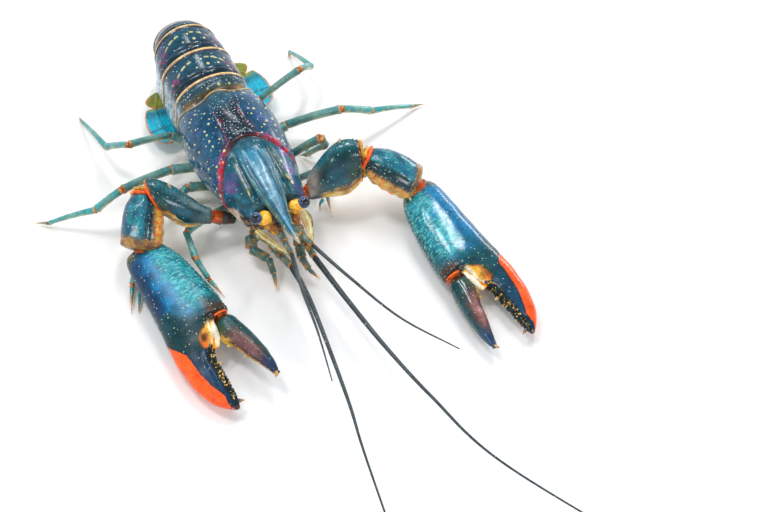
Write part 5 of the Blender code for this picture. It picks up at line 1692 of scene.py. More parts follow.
def carpus_paint(s, u, inward, points, side, look):
    """Tint of the third joint; inward runs from its outer side, -1, to its inner, 1."""
    cloud, small = ripple(points, 6, 85), ripple(points, 1.9, 87)
    crest = bell(inward - 0.1, 0.16) * step_up(0.05, 0.2, s) * step_up(0.86, 0.7, s)
    lobes = inward + (0.14 if side == RIGHT else 0.0)
    over = step_up(0.8, 0.5, u) if side == RIGHT else step_up(0.5, 0.2, u)
    gold = layered(
        look.gold,
        (look.membrane, step_up(0.0, 0.9, small if side == RIGHT else small - 0.4)),
        (look.umber, 0.5 * step_up(0.3, 1.1, cloud) * (side == LEFT)),
    )
    band_start = 0.75 if side == RIGHT else 0.82
    band = mix(look.rust * np.array(0.35), look.gold, 0.1 + 0.4 * step_up(-0.9, 0.9, cloud + 0.5 * small))
    tint = layered(
        look.arm,
        (look.navy, step_up(-0.9, 0.6, cloud) * 0.75),
        (look.navy, 0.75 * step_up(-0.35, -0.9, inward)),
        # Turquoise along the crest: partly its colour, partly a painted highlight line
        (look.turquoise, 0.55 * crest * (0.7 + 0.3 * small)),
        (look.turquoise, 0.35 * bell(inward + 0.42, 0.12) * bell(s - 0.4, 0.3)),
        (look.shade, 0.85 * step_up(0.42, 0.6, lobes + 0.03 * small) * step_up(-0.6, 0.0, u)),
        (look.moss, 0.5 * step_up(0.14, 0.02, s)),
        (gold, step_up(0.74, 0.86, lobes + 0.05 * small) * over * step_up(0.08, 0.2, s)),
        (look.belly, 0.8 * step_up(-0.6, -0.85, u)),
        (band, 0.9 * step_up(band_start, 0.87, s + 0.02 * small - 0.05 * inward)),
        (look.shade, 0.8 * step_up(0.965, 0.985, s)),
    )
    return tint


def carpus_skin(side, pose, look, count=96, around=104):
    """The rounded third joint of the arm: crested back, golden inner lobes, spine and brown far band."""
    start, end, run, inner = carpus_frame(side, pose)
    line = line_through([start, (start + end) / 2 + UP * 0.8, end], count)
    share = np.linspace(0, 1, count)
    length = np.linalg.norm(end - start)
    wide, high = even_steps(CARPUS_HALF_WIDTHS, share), even_steps(CARPUS_HALF_HEIGHTS, share)
    dome = rounded_ends(share * length, length, 2.6)
    vectors = across_line(line)
    rings = rings_along(line, wide * dome, high * dome, vectors, around, CARPUS_POWER)
    across, upward = oval(around, CARPUS_POWER)
    inward = by_turn(across * np.sign(vectors[0][0] @ inner), rings)
    s, u = by_ring(share, rings), by_turn(upward, rings)
    crease = bell(inward - 0.66, 0.07) * (u > 0) * step_up(0.1, 0.3, s)
    lobes = sum(bell(s - place, 0.07) for place in (0.3, 0.48, 0.66, 0.82))
    relief = 0.1 * ripple(rings, 6, 83) - 0.35 * crease + 0.3 * bell(s - 0.93, 0.03)
    relief = relief - 0.3 * bell(s - 0.82, 0.015)
    relief = relief + 0.9 * lobes * bell(inward - 0.93, 0.12) * step_up(0.6, 0.2, u)
    crest = 0.25 * bell(inward - 0.1, 0.12) * (u > 0) * step_up(0.05, 0.2, s) * step_up(0.8, 0.7, s)
    rings = raised(rings, outward_from(line, rings), relief + crest)
    skin = Skin()
    skin.rings(rings, carpus_paint(s, u, inward, rings, side, look), (0.4, 0.25, 0.06))
    for t, spine in ((0.62, 4.4), (0.9, 3.4)):
        i = int(t * (count - 1))
        root = line[i] + inner * (wide[i] - 1.8) - UP * 0.6
        skin.thorn(root, inner + run * 0.7, spine, 1.35, look.moss, look.tooth, around=14)
    draw = np.random.default_rng(89)
    for row, (reach, level) in enumerate(((0.78, 0.45), (0.9, 0.15), (0.93, -0.15))):
        for t in np.arange(0.16 + 0.03 * row, 0.93, 0.075):
            i = int(t * (count - 1))
            root = line[i] + inner * wide[i] * reach + UP * high[i] * level
            size = draw.uniform(0.5, 1.1)
            skin.thorn(root, inner + UP * level, 0.9 * size, 0.55 * size, look.gold, look.pale)
    return skin


def joint_skin(places, look):
    """Soft puckered skin between two hard joints; each place is (from, to, half width, half height)."""
    skin = Skin()
    for near, far, wide, high in places:
        near, far = np.array(near, float), np.array(far, float)
        length = np.linalg.norm(far - near)
        line = line_through([near, (near + far) / 2, far], 34)
        share = np.linspace(0, 1, 34)
        folds = 1 + 0.05 * np.cos(share * 2 * math.pi * 3.5)
        dome = rounded_ends(share * length, length, 0.45 * length)
        rings = rings_along(line, wide * dome * folds, high * dome * folds, carried_frame(line), 56, 2.2)
        rings = raised(rings, outward_from(line, rings), 0.18 * ripple(rings, 3.2, 91))
        tint = layered(
            look.rust,
            (look.membrane, step_up(-0.6, 0.8, ripple(rings, 2.6, 93))),
            (look.umber, 0.7 * step_up(0.0, 1.2, ripple(rings, 3.6, 95))),
        )
        skin.rings(rings, tint)
    return skin


def add_collar(skin, centre, wide, high, vectors, widths, tints):
    """A roll of skin round a joint's opening."""
    turns = 2 * math.pi * np.linspace(0, 1, 25)
    side_way, over = vectors
    points = centre + np.outer(wide * np.cos(turns), side_way) + np.outer(high * np.sin(turns), over)
    add_roll(skin, points, widths, tints, count=120)


def arm_joint_skin(side, pose, look):
    """All the soft skin of one arm: the plugs between its joints and the red rolls round the elbow."""
    knee, claw = np.array(pose["knee"]), np.array(pose["claw"])
    _, far, run, _, blade = merus_frame(side, pose)
    start, end, carpus_run, _ = carpus_frame(side, pose)
    high, lift, slant = (MERUS_SHAPES[side][kind] for kind in ("high", "lift", "slant"))
    opening = far + blade * lift[-1]
    wrist = claw + claw_axes(side, pose)[0] * 3.0
    places = [
        (knee - run * 3.0, knee + run * 3.0, 2.8, 3.0),
        (opening - run * 3.0, start + carpus_run * 4.0, 4.4, 5.4),
        (end - carpus_run * 3.0, wrist, 6.4, 4.4),
    ]
    skin = joint_skin(places, look)
    side_way = unit(np.cross(carpus_run, UP))
    over = unit(np.cross(side_way, carpus_run))
    red, orange, gold = np.array(look.membrane), np.array(look.patch) * (1, 1.9, 1), np.array(look.gold)
    vectors, tints = (side_way * side, over), [red, red, orange, gold, gold, red]
    outer_widths, inner_widths = (0.8, 1.0, 0.9, 1.1, 0.8, 0.9), (0.9, 1.1, 0.8, 1.0, 1.1, 0.9)
    add_collar(skin, start + carpus_run * 0.9, 6.0, 6.2, vectors, outer_widths, tints)
    add_collar(skin, start - carpus_run * 0.9, 5.0, 5.6, vectors, inner_widths, tints[::-1])
    vectors = (unit(np.cross(run, blade)), unit(blade * high[-1] + run * slant))
    rim = [np.array(look.umber), gold, red, orange, gold, np.array(look.umber)]
    add_collar(skin, opening, 5.3, 0.94 * math.hypot(high[-1], slant), vectors, (0.8,) * 6, rim)
    return skin


class CRAYFISH_OT_arms(bpy.types.Operator):
    """Builds the three joints of each arm and the red skin between them"""

    bl_idname = "crayfish.arms"
    bl_label = "Arms"

    def execute(self, context):
        look = looks(context)[1]
        finish = shell_finish("claw_shell", look, gloss=0.15, shine=0.5, relief=0.1)
        soft = shell_finish("joint_skin", look, gloss=0.22, relief=0.2, soft=0.1)
        for side, pose in CHELIPEDS.items():
            name = SIDES[side]
            for joint, build, slot, part in (
                ("first", ischium_skin, "joint_orange", "ischium"),
                ("second", merus_skin, "shell_teal", "merus"),
                ("third", carpus_skin, "shell_teal", "carpus"),
            ):
                skin = build(side, pose, look)
                skin.finish(f"arm_{name}_{joint}_joint", finish, slot, [f"cheliped_{part}_{name}"])
            arm_joint_skin(side, pose, look).finish(f"arm_{name}_joint_skin", soft, "joint_orange")
        return {"FINISHED"}


# ---- Great claws ------------------------------------------------------------------------------------

# Where the palm gives way to the fixed finger, and the inner edge of each there
PALM_END = 47.0
PALM_INNER, FINGER_INNER = PALM_STATIONS[-1][2], FIXED_FINGER_STATIONS[0][2]
# Edge of the pale web beyond the hinge, each (distance along the claw, place across), and tints
WEB_EDGE = [(46.4, 7.0), (48.4, 3.6), (50.2, 0.5), (53, -0.9), (57.5, -1.5), (59.5, -1.0)]
NIGHT, WEB_RIM, PATCH_CLOUD = (0.002, 0.014, 0.034), (0.95, 0.9, 0.75), (0.95, 0.14, 0.03)
ROSY_SHEEN, PIVOT_BLACK, WEB_WHITE = (0.5, 0.2, 0.2), (0.006, 0.005, 0.006), (0.9, 0.84, 0.66)


def claw_axes(side, pose):
    """Unit vectors of a claw: ahead to its tip, inward to its movable finger, and over its back."""
    bearing, pitch, roll = (math.radians(a) for a in (pose["claw_bearing"], CLAW_PITCH, pose["claw_roll"]))
    level_ahead = np.array((math.sin(bearing), -math.cos(bearing), 0.0))
    ahead = level_ahead * math.cos(pitch) + UP * math.sin(pitch)
    level = unit(np.cross(ahead, UP)) * side
    over = np.cross(level, ahead) * side
    inward = level * math.cos(roll) + over * math.sin(roll)
    return ahead, inward, over * math.cos(roll) - level * math.sin(roll)


def claw_surface(side, pose, along, outer, inner, high, around, power):
    """Rings across a claw between two edges, with the shares across and over of their points."""
    ahead, inward, over = claw_axes(side, pose)
    across, upward = oval(around, power)
    breadth = pose["claw_breadth"]
    middle = breadth * (outer + inner) / 2
    wide = breadth * abs(inner - outer) / 2
    line = np.array(pose["claw"]) + np.outer(along, ahead) + np.outer(middle, inward)
    rings = (
        line[:, None, :]
        + (wide[:, None] * across)[..., None] * inward
        + (high[:, None] * upward)[..., None] * over
    )
    return rings, line, across, upward


def finger_move(side, pose, along):
    """The movable finger's lift, and swing towards the fixed finger, at that distance along the claw."""
    _, inward, over = claw_axes(side, pose)
    start, end = FINGER_STATIONS[0][0], FINGER_STATIONS[-1][0]
    share = (np.asarray(along) - start) / (end - start)
    share = share[..., None]
    return over * pose["finger_lift"] * share - inward * pose["finger_swing"] * (0.1 + 0.9 * share)


def palm_paint(along, flat, ups, outer_edge, inner_edge, points, look, side):
    """Tint and marking shares of the palm and fixed finger; flat is the place across, positive inwards."""
    cloud, small, fine = ripple(points, 10, 101 + side), ripple(points, 2.8, 103), ripple(points, 1.2, 104)
    outside = look.cobalt if side == LEFT else look.navy
    night = (0.85 if side == RIGHT else 0.5) * step_up(46, 64, along + 2 * cloud) * step_up(-7, -2, flat)
    corner = step_up(38.5, 45, along + 0.7 * cloud) * step_up(5.0, 9.0, flat)
    off_edge = inner_edge - flat
    web_edge = level_through(WEB_EDGE, along)
    web_edge = web_edge + (2.6 if side == RIGHT else 0.4) * bell(along - 49.6, 2.0)
    base = step_up(46.8, 47.8, along) * step_up(59.4, 58.6, along)
    web = base * step_up(-1.0, 0.5, flat - web_edge + 0.3 * small)
    amber = mix(look.gold, look.rust, 0.85 * step_up(1.6, 0.3, flat - web_edge + 0.3 * small))
    # A dark spot ringed in rust lies on the web
    eye_spot = np.hypot(0.8 * (along - 54.6), flat - 0.2 + 0.25 * (along - 54.6)) + 0.15 * small
    spot = (ups > 0) * (1.0 if side == RIGHT else 0.35)
    inside = flat - outer_edge
    full = 59.0 if side == RIGHT else 55.0
    reach = 5.6 * step_up(46.0, full, along) * step_up(89.0, 80.0, along) + 0.12 * small
    patch = step_up(reach + 0.22, reach - 0.22, inside)
    patch = patch * step_up(46.4, 47.4, along) * step_up(87.4, 86.6, along)
    toothed = step_up(3.0, 2.4, off_edge + 0.25 * small)
    spots = (0.38 + 0.1 * cloud) * (1 - patch) * step_up(13.5, 11.0, flat) * (1 - web)
    mottle = step_up(-3.0, 3.0, flat) * step_up(42, 34, along + 1.2 * cloud) * step_up(-0.2, 0.2, ups)
    marks = np.stack([spots, 0.08 * (1 - patch), np.clip(mottle, 0, 1) * step_up(1, 6, along)], -1)
    tint = layered(
        outside,
        (look.blue, step_up(-8.0, -3.5, flat + 1.4 * cloud)),
        (look.navy, 0.7 * step_up(-7.5, -12.0, flat + 0.8 * cloud)),
        (look.shade, 0.45 * step_up(-7.0, -12.0, flat + 0.8 * cloud) * (side == RIGHT)),
        (look.cobalt, 0.22 * bell(flat + 4.5, 3.0) * bell(along - 20, 14) * (side == RIGHT)),
        (look.turquoise, step_up(-2.0, 3.5, flat + 1.8 * cloud) * step_up(50, 36, along)),
        (look.teal, 0.35 * step_up(6.5, 12, flat + 1.2 * cloud)),
        (look.teal, 0.9 * step_up(33, 46, along + 2.5 * cloud - 0.25 * flat)),
        (look.shade, (0.5 if side == RIGHT else 0.2) * step_up(36, 50, along + 2 * cloud)),
        (look.navy, 0.6 * step_up(52, 66, along + 2 * cloud)),
        (NIGHT, night),
        (look.teal, 0.8 * step_up(-0.1, -0.55, ups)),
        (look.teal, 0.75 * step_up(12.0, 14.3, flat + 0.4 * small) * step_up(48, 44, along)),
        (look.moss, 0.7 * step_up(5.5, 1.5, along + 0.9 * small)),
        (look.gold, 0.6 * step_up(4.5, 1.0, along) * step_up(0.2, 1.0, fine + 0.3 * small)),
        (look.shade, 0.85 * step_up(0.4, -0.8, along)),
        (look.umber, 0.85 * corner),
        (look.shade, 0.7 * bell(along - 46.3, 1.0) * step_up(4.0, 6.5, flat)),
        (look.moss, 0.75 * base * bell(flat - web_edge + 1.2, 1.2)),
        (mix(amber, look.patch, 0.6 * step_up(55, 58.5, along)), web),
        (look.belly, 0.8 * web * step_up(3.4, 2.4, off_edge)),
        (WEB_RIM, web * step_up(2.2, 1.3, off_edge)),
        (look.rust, 0.8 * step_up(2.8, 1.2, eye_spot) * spot),
        (look.umber, 0.95 * step_up(1.9, 0.7, eye_spot) * spot),
        (look.shade, 0.6 * bell(inside - reach - 0.5, 0.5) * step_up(47, 49, along) * (1 - patch)),
        (look.patch, patch),
        (PATCH_CLOUD, 0.35 * patch * step_up(0.0, 1.2, cloud)),
        (look.membrane, 0.85 * step_up(87.0, 88.2, along)),
        (look.shade, 0.92 * toothed * step_up(57.5, 59, along)),
    )
    return tint, marks


def palm_edges(along, breadth):
    """Outer edge, inner edge and half thickness of the palm and fixed finger at each distance along."""
    columns = []
    for column in (1, 2, 3):
        palm = level_through(np.array(PALM_STATIONS)[:, (0, column)], along)
        finger = level_through(np.array(FIXED_FINGER_STATIONS)[:, (0, column)], along)
        columns.append(np.where(np.asarray(along) < PALM_END, palm, finger))
    near_hinge = (np.asarray(along) > 42.0) & (np.asarray(along) < 52.0)
    high = np.where(near_hinge, level_through([(42, 8.4), (47, 7.75), (52, 7.0)], along), columns[2])
    return breadth * columns[0], breadth * columns[1], high


def palm_skin(side, pose, look, around=150):
    """The palm with its fixed finger: dented edge, ridged back, row of teeth and hooked tip."""
    along = np.concatenate(
        [np.linspace(-2.6, 46.6, 124), np.array((46.9, 47.15, 47.35)), np.linspace(47.6, 88.8, 116)]
    )
    breadth = pose["claw_breadth"]
    outer, inner, high = palm_edges(along, breadth)
    step_in = breadth * (PALM_INNER - FINGER_INNER) * step_up(47.45, 46.6, along)
    inner = inner + np.where(along < PALM_END, 0, step_in)
    dome = rounded_ends(along - along[0], 400.0, 1.6)
    rings, line, across, upward = claw_surface(
        side, pose, along, outer / breadth, inner / breadth, high, around, PALM_POWER
    )
    ahead, inward, over = claw_axes(side, pose)
    # Beyond the hinge the back keeps the palm's arch, and only its inner edge steps aside
    arch_edge = inner + (breadth * PALM_INNER - inner) * step_up(60, 47.4, along) * (along > PALM_END)
    middle, half = (outer + inner)[:, None] / 2, (inner - outer)[:, None] / 2
    arch_middle, arch_half = (outer + arch_edge)[:, None] / 2, (arch_edge - outer)[:, None] / 2
    arch_share = np.clip(abs((middle + half * across - arch_middle) / arch_half), 0, 1)
    arch = high[:, None] * (1 - arch_share**PALM_POWER) ** (1 / PALM_POWER)
    arch = arch * (1 - np.clip(across, 0, 1) ** 9) ** (1 / PALM_POWER)
    change = (np.sign(upward) * arch - high[:, None] * upward) * (along > PALM_END)[:, None]
    rings = rings + change[..., None] * over
    centre = line[:, None, :]
    rings = centre + (rings - centre) * dome[:, None, None]
    wrist = np.array(pose["claw"])
    flat = (rings - wrist) @ inward
    a, ups = by_ring(along, rings), by_turn(upward, rings)
    outward = outward_from(line, rings)
    relief = 0.07 * ripple(rings, 8, 111 + side) * step_up(86, 78, a)
    off_edge = inner[:, None] - flat
    relief = relief + 0.5 * bell(off_edge - 4.1, 0.8) * (ups > 0) * step_up(56, 62, a) * step_up(87, 81, a)
    relief = relief - 0.2 * bell(off_edge - 6.2, 1.0) * (ups > 0) * step_up(58, 64, a) * step_up(82, 76, a)
    hinge_side = step_up(4, 7, flat)
    relief = relief + 0.25 * bell(a - 45.4, 0.7) * hinge_side - 0.25 * bell(a - 44.0, 0.5) * hinge_side
    edge_share = step_up(0.93, 0.99, across * np.ones_like(flat))
    scallop = 0.25 * np.sin(a * 2 * math.pi / 2.1) * edge_share * step_up(2, 5, a) * step_up(46, 44, a)
    pebbles = 0.14 * ripple(rings, 1.7, 107) * step_up(8.5, 12.0, flat) * step_up(48, 44, a)
    rings = raised(rings, outward, relief + scallop + pebbles)
    tint, marks = palm_paint(a, flat, ups, outer[:, None], inner[:, None], rings, look, side)
    skin = Skin()
    skin.rings(rings, tint, marks)
    draw = np.random.default_rng(121 + side)
    for a in np.arange(3.5, 45, 1.55):
        edge = palm_edges(a, breadth)[1]
        root = wrist + ahead * a + inward * (edge - 0.35) + over * draw.uniform(0.2, 1.4)
        size = draw.uniform(0.7, 1.2)
        skin.thorn(root, inward + ahead * 0.9 + over * 0.3, 0.95 * size, 0.55 * size, look.teal, look.arm)
    edges = palm_edges(np.array(TOOTH_PLACES), breadth)[1]
    roots = [wrist + ahead * a + inward * (e - 0.9) for a, e in zip(TOOTH_PLACES, edges)]
    for number, root in enumerate(roots[:-1]):
        size, tint = (1.25, look.gold) if number == 1 else (0.8, look.moss)
        skin.thorn(root, inward, 2.0 * size, 1.1 * size, tint, look.tooth, around=12)
    for a in np.arange(57.8, 85.5, 0.66):
        outer_here, edge, high_here = palm_edges(a, breadth)
        middle, half = (outer_here + edge) / 2, (edge - outer_here) / 2
        for row in (0.12, 0.75, 1.45, 2.2):
            off = row + draw.uniform(-0.25, 0.25)
            share = np.clip(1 - off / half, 0, 1)
            level = high_here * (1 - share**PALM_POWER) ** (1 / PALM_POWER)
            root = wrist + ahead * (a + draw.uniform(-0.3, 0.3)) + inward * (middle + half * share)
            root = root + over * (level - 0.15)
            size, chance = draw.uniform(0.6, 1.2), draw.uniform()
            tint = look.gold if chance < 0.28 else look.moss if chance < 0.45 else look.shade
            tip_tint = look.tooth if chance < 0.16 else look.moss if chance < 0.5 else look.shade
            skin.thorn(root, over + inward * (0.9 * share), 0.6 * size, 0.5 * size, tint, tip_tint)
    hook_root = roots[-1] + ahead * 1.6 - inward * 0.6
    skin.thorn(hook_root, inward + ahead * 0.5, 4.3, 1.25, look.navy, look.gold, around=14)
    return skin


def movable_finger_skin(side, pose, look, around=120):
    """The movable finger: green at its root, mauve along its middle, navy at its tip, with its own teeth."""
    table = np.array(FINGER_STATIONS)
    along = np.concatenate([np.linspace(47.2, 50, 18), np.linspace(50.3, 86.4, 120)])
    inner, outer, high = (level_through(table[:, (0, column)], along) for column in (1, 2, 3))
    rings, line, across, upward = claw_surface(
        side, pose, along, inner, outer, high, around, FINGER_POWER
    )
    dome = rounded_ends(along - along[0], 400.0, 1.8)[:, None, None]
    centre = line[:, None, :]
    rings = centre + (rings - centre) * dome
    ahead, inward, over = claw_axes(side, pose)
    a, across, ups = by_ring(along, rings), by_turn(across, rings), by_turn(upward, rings)
    outward = outward_from(line, rings)
    top = (ups > 0) * 1.0
    relief = 0.08 * ripple(rings, 6, 131) - 0.16 * bell(across + 0.45, 0.12) * top * step_up(54, 60, a)
    relief = relief + 0.22 * bell(across - 0.1, 0.22) * top * step_up(53, 60, a) * step_up(84, 76, a)
    rings = raised(rings, outward, relief) + finger_move(side, pose, a)
    cloud, small = ripple(rings, 6, 133), ripple(rings, 1.9, 135)
    # The left finger's middle is lifted to a rosy pink: partly mauve colour, partly a painted highlight
    rosy_sheen = mix(look.mauve, ROSY_SHEEN, 0.6) if side == LEFT else np.array(look.mauve)
    skin = Skin()
    tint = layered(
        look.teal,
        (look.moss, step_up(0.2, -0.8, across + 0.4 * cloud)),
        (look.finger, step_up(55, 62, a + 1.2 * cloud) * step_up(0.75, 0.1, across - 0.15 * cloud)),
        (rosy_sheen, 0.85 * bell(a - 69, 8.0) * bell(across + (0.25 if side == LEFT else 0.4), 0.55)),
        (look.navy, 0.85 * step_up(74, 81, a + 0.9 * small)),
        (look.gold, 0.7 * step_up(-0.9, -0.97, across + 0.03 * small) * step_up(54, 58, a)),
        (look.belly, 0.9 * bell(a - 59, 2.4) * step_up(-0.6, -0.85, across + 0.06 * small)),
        (look.umber, 0.8 * step_up(51.6, 50.2, a)),
        (look.gold, 0.85 * step_up(84.6, 85.6, a)),
    )
    skin.rings(rings, tint, (0.42, 0.08, 0.0))
    wrist, breadth = np.array(pose["claw"]), pose["claw_breadth"]
    draw = np.random.default_rng(137 + side)
    places = np.array(TOOTH_PLACES[:-1])
    edges = breadth * level_through(table[:, (0, 1)], places)
    for number, (place, edge) in enumerate(zip(places, edges)):
        root = wrist + ahead * place + inward * (edge + 0.9) + finger_move(side, pose, place)
        size = 1.2 if number in (0, 2) else 0.7
        skin.thorn(root, -inward, 1.9 * size, 1.0 * size, look.gold, look.tooth, around=12)
    for place in np.arange(57.5, 83, 0.8):
        edge = breadth * level_through(table[:, (0, 1)], place)
        for level in (0.2, 1.0):
            root = wrist + ahead * place + inward * (edge + 0.4 + 0.3 * level) + over * level
            root = root + finger_move(side, pose, place)
            size, run = draw.uniform(0.6, 1.1), -inward + over * (0.2 + 0.4 * level)
            skin.thorn(root, run, 0.75 * size, 0.45 * size, look.gold, look.tooth)
    tip = line[-6] + finger_move(side, pose, along[-6])
    skin.thorn(tip + inward * 1.0, ahead * 0.8 - inward, 3.5, 1.05, look.navy, look.gold, around=14)
    return skin


def hinge_skin(side, pose, look):
    """The movable finger's hinge: pale web towards the fixed finger, thin red rim and glassy dark pivot."""
    ahead, inward, over = claw_axes(side, pose)
    wrist, breadth = np.array(pose["claw"]), pose["claw_breadth"]

    def place(a, flat, level):
        return wrist + ahead * a + inward * breadth * flat + over * level

    skin = joint_skin([(place(45.0, 11.2, -0.6), place(50.0, 11.6, -0.6), 3.6, 4.4)], look)
    red, gold, pale = np.array(look.membrane), np.array(look.belly), np.array(look.tooth)
    white, orange = np.array(WEB_WHITE), np.array(look.patch) * (1, 3.0, 1)
    rim = [(46.9, 15.4, 1.6), (47.3, 14.2, 4.4), (47.6, 12.0, 5.6), (47.7, 9.6, 5.9), (47.5, 8.0, 5.6)]
    tints = [red, red, red * (1, 1.5, 1), red, red * 0.6]
    add_roll(skin, [place(*point) for point in rim], (0.4, 0.5, 0.55, 0.5, 0.3), tints, lumps=0.05)
    for shift, radius, tints in (
        (0.0, (0.4, 0.9, 1.5, 1.7, 1.1), (gold, white, white, white, pale)),
        (-1.1, (0.4, 0.8, 1.3, 1.5, 1.2), (gold, gold, pale, orange, orange)),
    ):
        web = [(48.2, 8.0, 5.0), (50.4, 7.0, 4.6), (53.2, 6.0, 3.9), (56.4, 4.8, 2.8), (59.4, 2.9, 1.8)]
        points = [place(a, flat + shift, level) for a, flat, level in web]
        add_roll(skin, points, radius, list(tints), lumps=0.06)
    ball, pivot = place(47.2, 8.0, 6.3), Skin()
    line = ball + np.outer(np.linspace(-1.5, 1.5, 24), over)
    width = 1.5 * np.sqrt(np.clip(1.01 - np.linspace(-1, 1, 24) ** 2, 0, 1))
    vectors = same_frame(line, inward, ahead)
    pivot.rings(rings_along(line, width, width, vectors, 24, 2.0), PIVOT_BLACK)
    return skin, pivot


class CRAYFISH_OT_claws(bpy.types.Operator):
    """Builds the two great claws: palms with their fixed fingers, movable fingers and hinges"""

    bl_idname = "crayfish.claws"
    bl_label = "Great claws"

    def execute(self, context):
        look = looks(context)[1]
        finishes = {
            RIGHT: shell_finish("right_claw_shell", look, gloss=0.3, shine=0.34, relief=0.1),
            LEFT: shell_finish("claw_shell", look),
        }
        soft = shell_finish("joint_skin", look)
        glass = shell_finish("pivot_glass", look, gloss=0.03, shine=1.0, relief=0.0, uneven=0.2)
        for side, pose in CHELIPEDS.items():
            name = SIDES[side]
            palm = palm_skin(side, pose, look)
            palm.finish(f"claw_{name}_palm_shell", finishes[side], "claw_blue", [f"claw_palm_{name}"])
            finger = movable_finger_skin(side, pose, look)
            finger.finish(f"claw_{name}_finger_shell", finishes[side], "claw_blue", [f"claw_finger_{name}"])
            hinge, pivot = hinge_skin(side, pose, look)
            hinge.finish(f"claw_{name}_hinge", soft, "joint_orange")
            pivot.finish(f"claw_{name}_pivot", glass, "eye_dark")
        return {"FINISHED"}


# ---- Stage ------------------------------------------------------------------------------------------

# Floor: half its width, its corners each way and its height
FLOOR_REACH, FLOOR_CORNERS, FLOOR_LEVEL = 6.0, 13, -0.0002
# Camera: where it stands and what it faces
CAMERA_PLACE = (-0.11104, -0.27540, 0.49950)
CAMERA_TARGET = (0.03286, 0.00090, 0.01980)
# Softboxes: name, place, what they face, width, height, watts
SOFTBOXES = [
    ("softbox_back", (0.45, 0.48, 1.05), (0.0, 0.0, 0.0), 0.12, 0.5, 4.5),
    ("softbox_top", (-0.15, 0.38, 1.12), (0.0, -0.03, 0.0), 0.2, 0.2, 3.0),
    ("softbox_far", (0.22, 0.86, 0.85), (0.0, 0.05, 0.0), 0.12, 0.12, 0.8),
    ("strip_back_left", (-0.34, 0.6, 1.02), (0.0, -0.05, 0.0), 0.4, 0.08, 2.0),
    ("softbox_right", (1.1, 0.5, 0.2), (0.0, 0.0, 0.03), 0.5, 0.1, 2.5),
    ("softbox_left", (-0.9, -0.3, 0.8), (0.0, 0.0, 0.0), 0.3, 0.2, 2.0),
    ("softbox_front", (0.35, -0.95, 0.8), (0.0, 0.0, 0.0), 0.6, 0.2, 4.0),
]


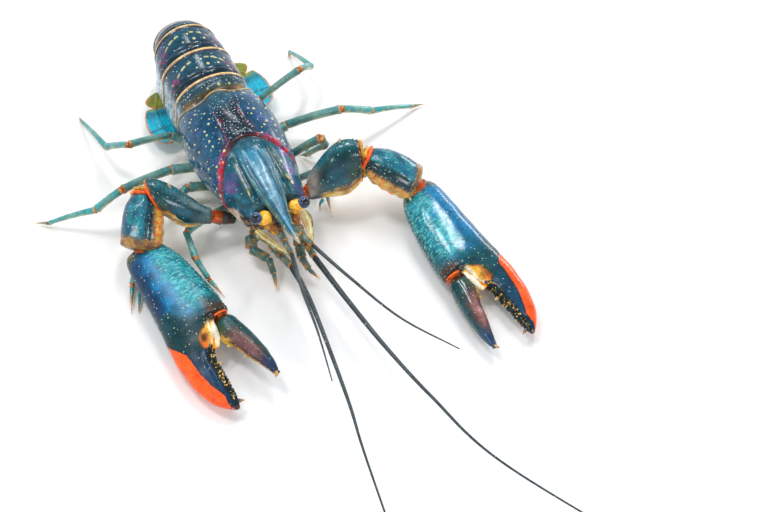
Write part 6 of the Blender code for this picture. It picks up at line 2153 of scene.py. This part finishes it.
class CRAYFISH_OT_stage(bpy.types.Operator):
    """Builds the pale floor, the softboxes and the camera"""

    bl_idname = "crayfish.stage"
    bl_label = "Stage"

    def execute(self, context):
        scene, look = context.scene, context.scene.crayfish_stage
        steps = np.linspace(-FLOOR_REACH, FLOOR_REACH, FLOOR_CORNERS)
        x, y = np.meshgrid(steps, steps, indexing="ij")
        corners = np.stack([x, y, 0 * x + FLOOR_LEVEL], -1).reshape(-1, 3)
        number = np.arange(FLOOR_CORNERS**2).reshape(x.shape)
        quads = (number[:-1, :-1], number[:-1, 1:], number[1:, 1:], number[1:, :-1])
        faces = np.stack(quads, -1).reshape(-1, 4).tolist()
        mesh = bpy.data.meshes.new("floor")
        mesh.from_pydata(corners.tolist(), [], faces)
        floor = bpy.data.objects.new("floor", mesh)
        scene.collection.objects.link(floor)
        finish = bpy.data.materials.new("pale_floor")
        finish.use_nodes = True
        tree = finish.node_tree
        shader = tree.nodes["Principled BSDF"]
        place = node(tree, "ShaderNodeTexCoord", {}).outputs["Object"]
        cloud = node(tree, "ShaderNodeTexNoise", {"Vector": place, "Scale": 3.0})
        pale = tuple(look.floor)
        tint = blended(tree, cloud.outputs["Fac"], (*pale, 1.0), (*(0.985 * c for c in pale), 1.0))
        tree.links.new(tint, shader.inputs["Base Color"])
        shader.inputs["Roughness"].default_value = 0.6
        mesh.materials.append(finish)
        world = bpy.data.worlds.new("pale_surroundings")
        world.use_nodes = True
        sky = world.node_tree.nodes["Background"]
        sky.inputs["Color"].default_value = (0.96, 0.98, 1.0, 1.0)
        heading = node(world.node_tree, "ShaderNodeTexCoord", {}).outputs["Generated"]
        height = node(world.node_tree, "ShaderNodeSeparateXYZ", {0: heading}).outputs["Z"]
        level = rise(world.node_tree, height, 0.1, 0.7, 1.45 * look.sky, 0.5 * look.sky)
        world.node_tree.links.new(level, sky.inputs["Strength"])
        scene.world = world
        for name, place, target, width, height, power in SOFTBOXES:
            light = bpy.data.lights.new(name, "AREA")
            light.shape, light.size, light.size_y = "RECTANGLE", width, height
            light.energy = power * look.key
            box = bpy.data.objects.new(name, light)
            scene.collection.objects.link(box)
            box.location = place
            box.rotation_euler = (Vector(target) - Vector(place)).to_track_quat("-Z", "Y").to_euler()
        lens = bpy.data.cameras.new("camera")
        lens.lens, lens.sensor_width = look.lens, 36.0
        lens.clip_start, lens.clip_end = 0.01, 20.0
        camera = bpy.data.objects.new("camera", lens)
        scene.collection.objects.link(camera)
        camera.location = CAMERA_PLACE
        sight = Vector(CAMERA_TARGET) - Vector(CAMERA_PLACE)
        camera.rotation_euler = sight.to_track_quat("-Z", "Y").to_euler()
        scene.camera = camera
        scene.view_settings.view_transform = "Standard"
        return {"FINISHED"}


# ---- Panel and running ------------------------------------------------------------------------------

BUILDERS = (
    CRAYFISH_OT_carapace,
    CRAYFISH_OT_breast,
    CRAYFISH_OT_tail,
    CRAYFISH_OT_tail_fan,
    CRAYFISH_OT_walking_legs,
    CRAYFISH_OT_maxillipeds,
    CRAYFISH_OT_eyes,
    CRAYFISH_OT_feelers,
    CRAYFISH_OT_arms,
    CRAYFISH_OT_claws,
    CRAYFISH_OT_stage,
)
CHOICES = {
    "crayfish_shell": ShellLook,
    "crayfish_claws": ClawLook,
    "crayfish_limbs": LimbLook,
    "crayfish_stage": StageLook,
}


class CRAYFISH_PT_build(bpy.types.Panel):
    """Lists the choices and the pieces"""

    bl_idname = "CRAYFISH_PT_build"
    bl_label = "Redclaw crayfish"
    bl_space_type = "VIEW_3D"
    bl_region_type = "UI"
    bl_category = "Crayfish"

    def draw(self, context):
        for attribute, group in CHOICES.items():
            box = self.layout.box()
            box.label(text=group.__doc__)
            for choice in group.__annotations__:
                box.prop(getattr(context.scene, attribute), choice)
        for builder in BUILDERS:
            self.layout.operator(builder.bl_idname)


def register():
    for group in CHOICES.values():
        bpy.utils.register_class(group)
    for attribute, group in CHOICES.items():
        setattr(bpy.types.Scene, attribute, bpy.props.PointerProperty(type=group))
    for builder in (*BUILDERS, CRAYFISH_PT_build):
        bpy.utils.register_class(builder)


def unregister():
    for builder in (*BUILDERS, CRAYFISH_PT_build):
        bpy.utils.unregister_class(builder)
    for attribute, group in CHOICES.items():
        delattr(bpy.types.Scene, attribute)
        bpy.utils.unregister_class(group)


def main():
    register()
    for builder in BUILDERS:
        family, name = builder.bl_idname.split(".")
        getattr(getattr(bpy.ops, family), name)()


if __name__ == "__main__":
    main()
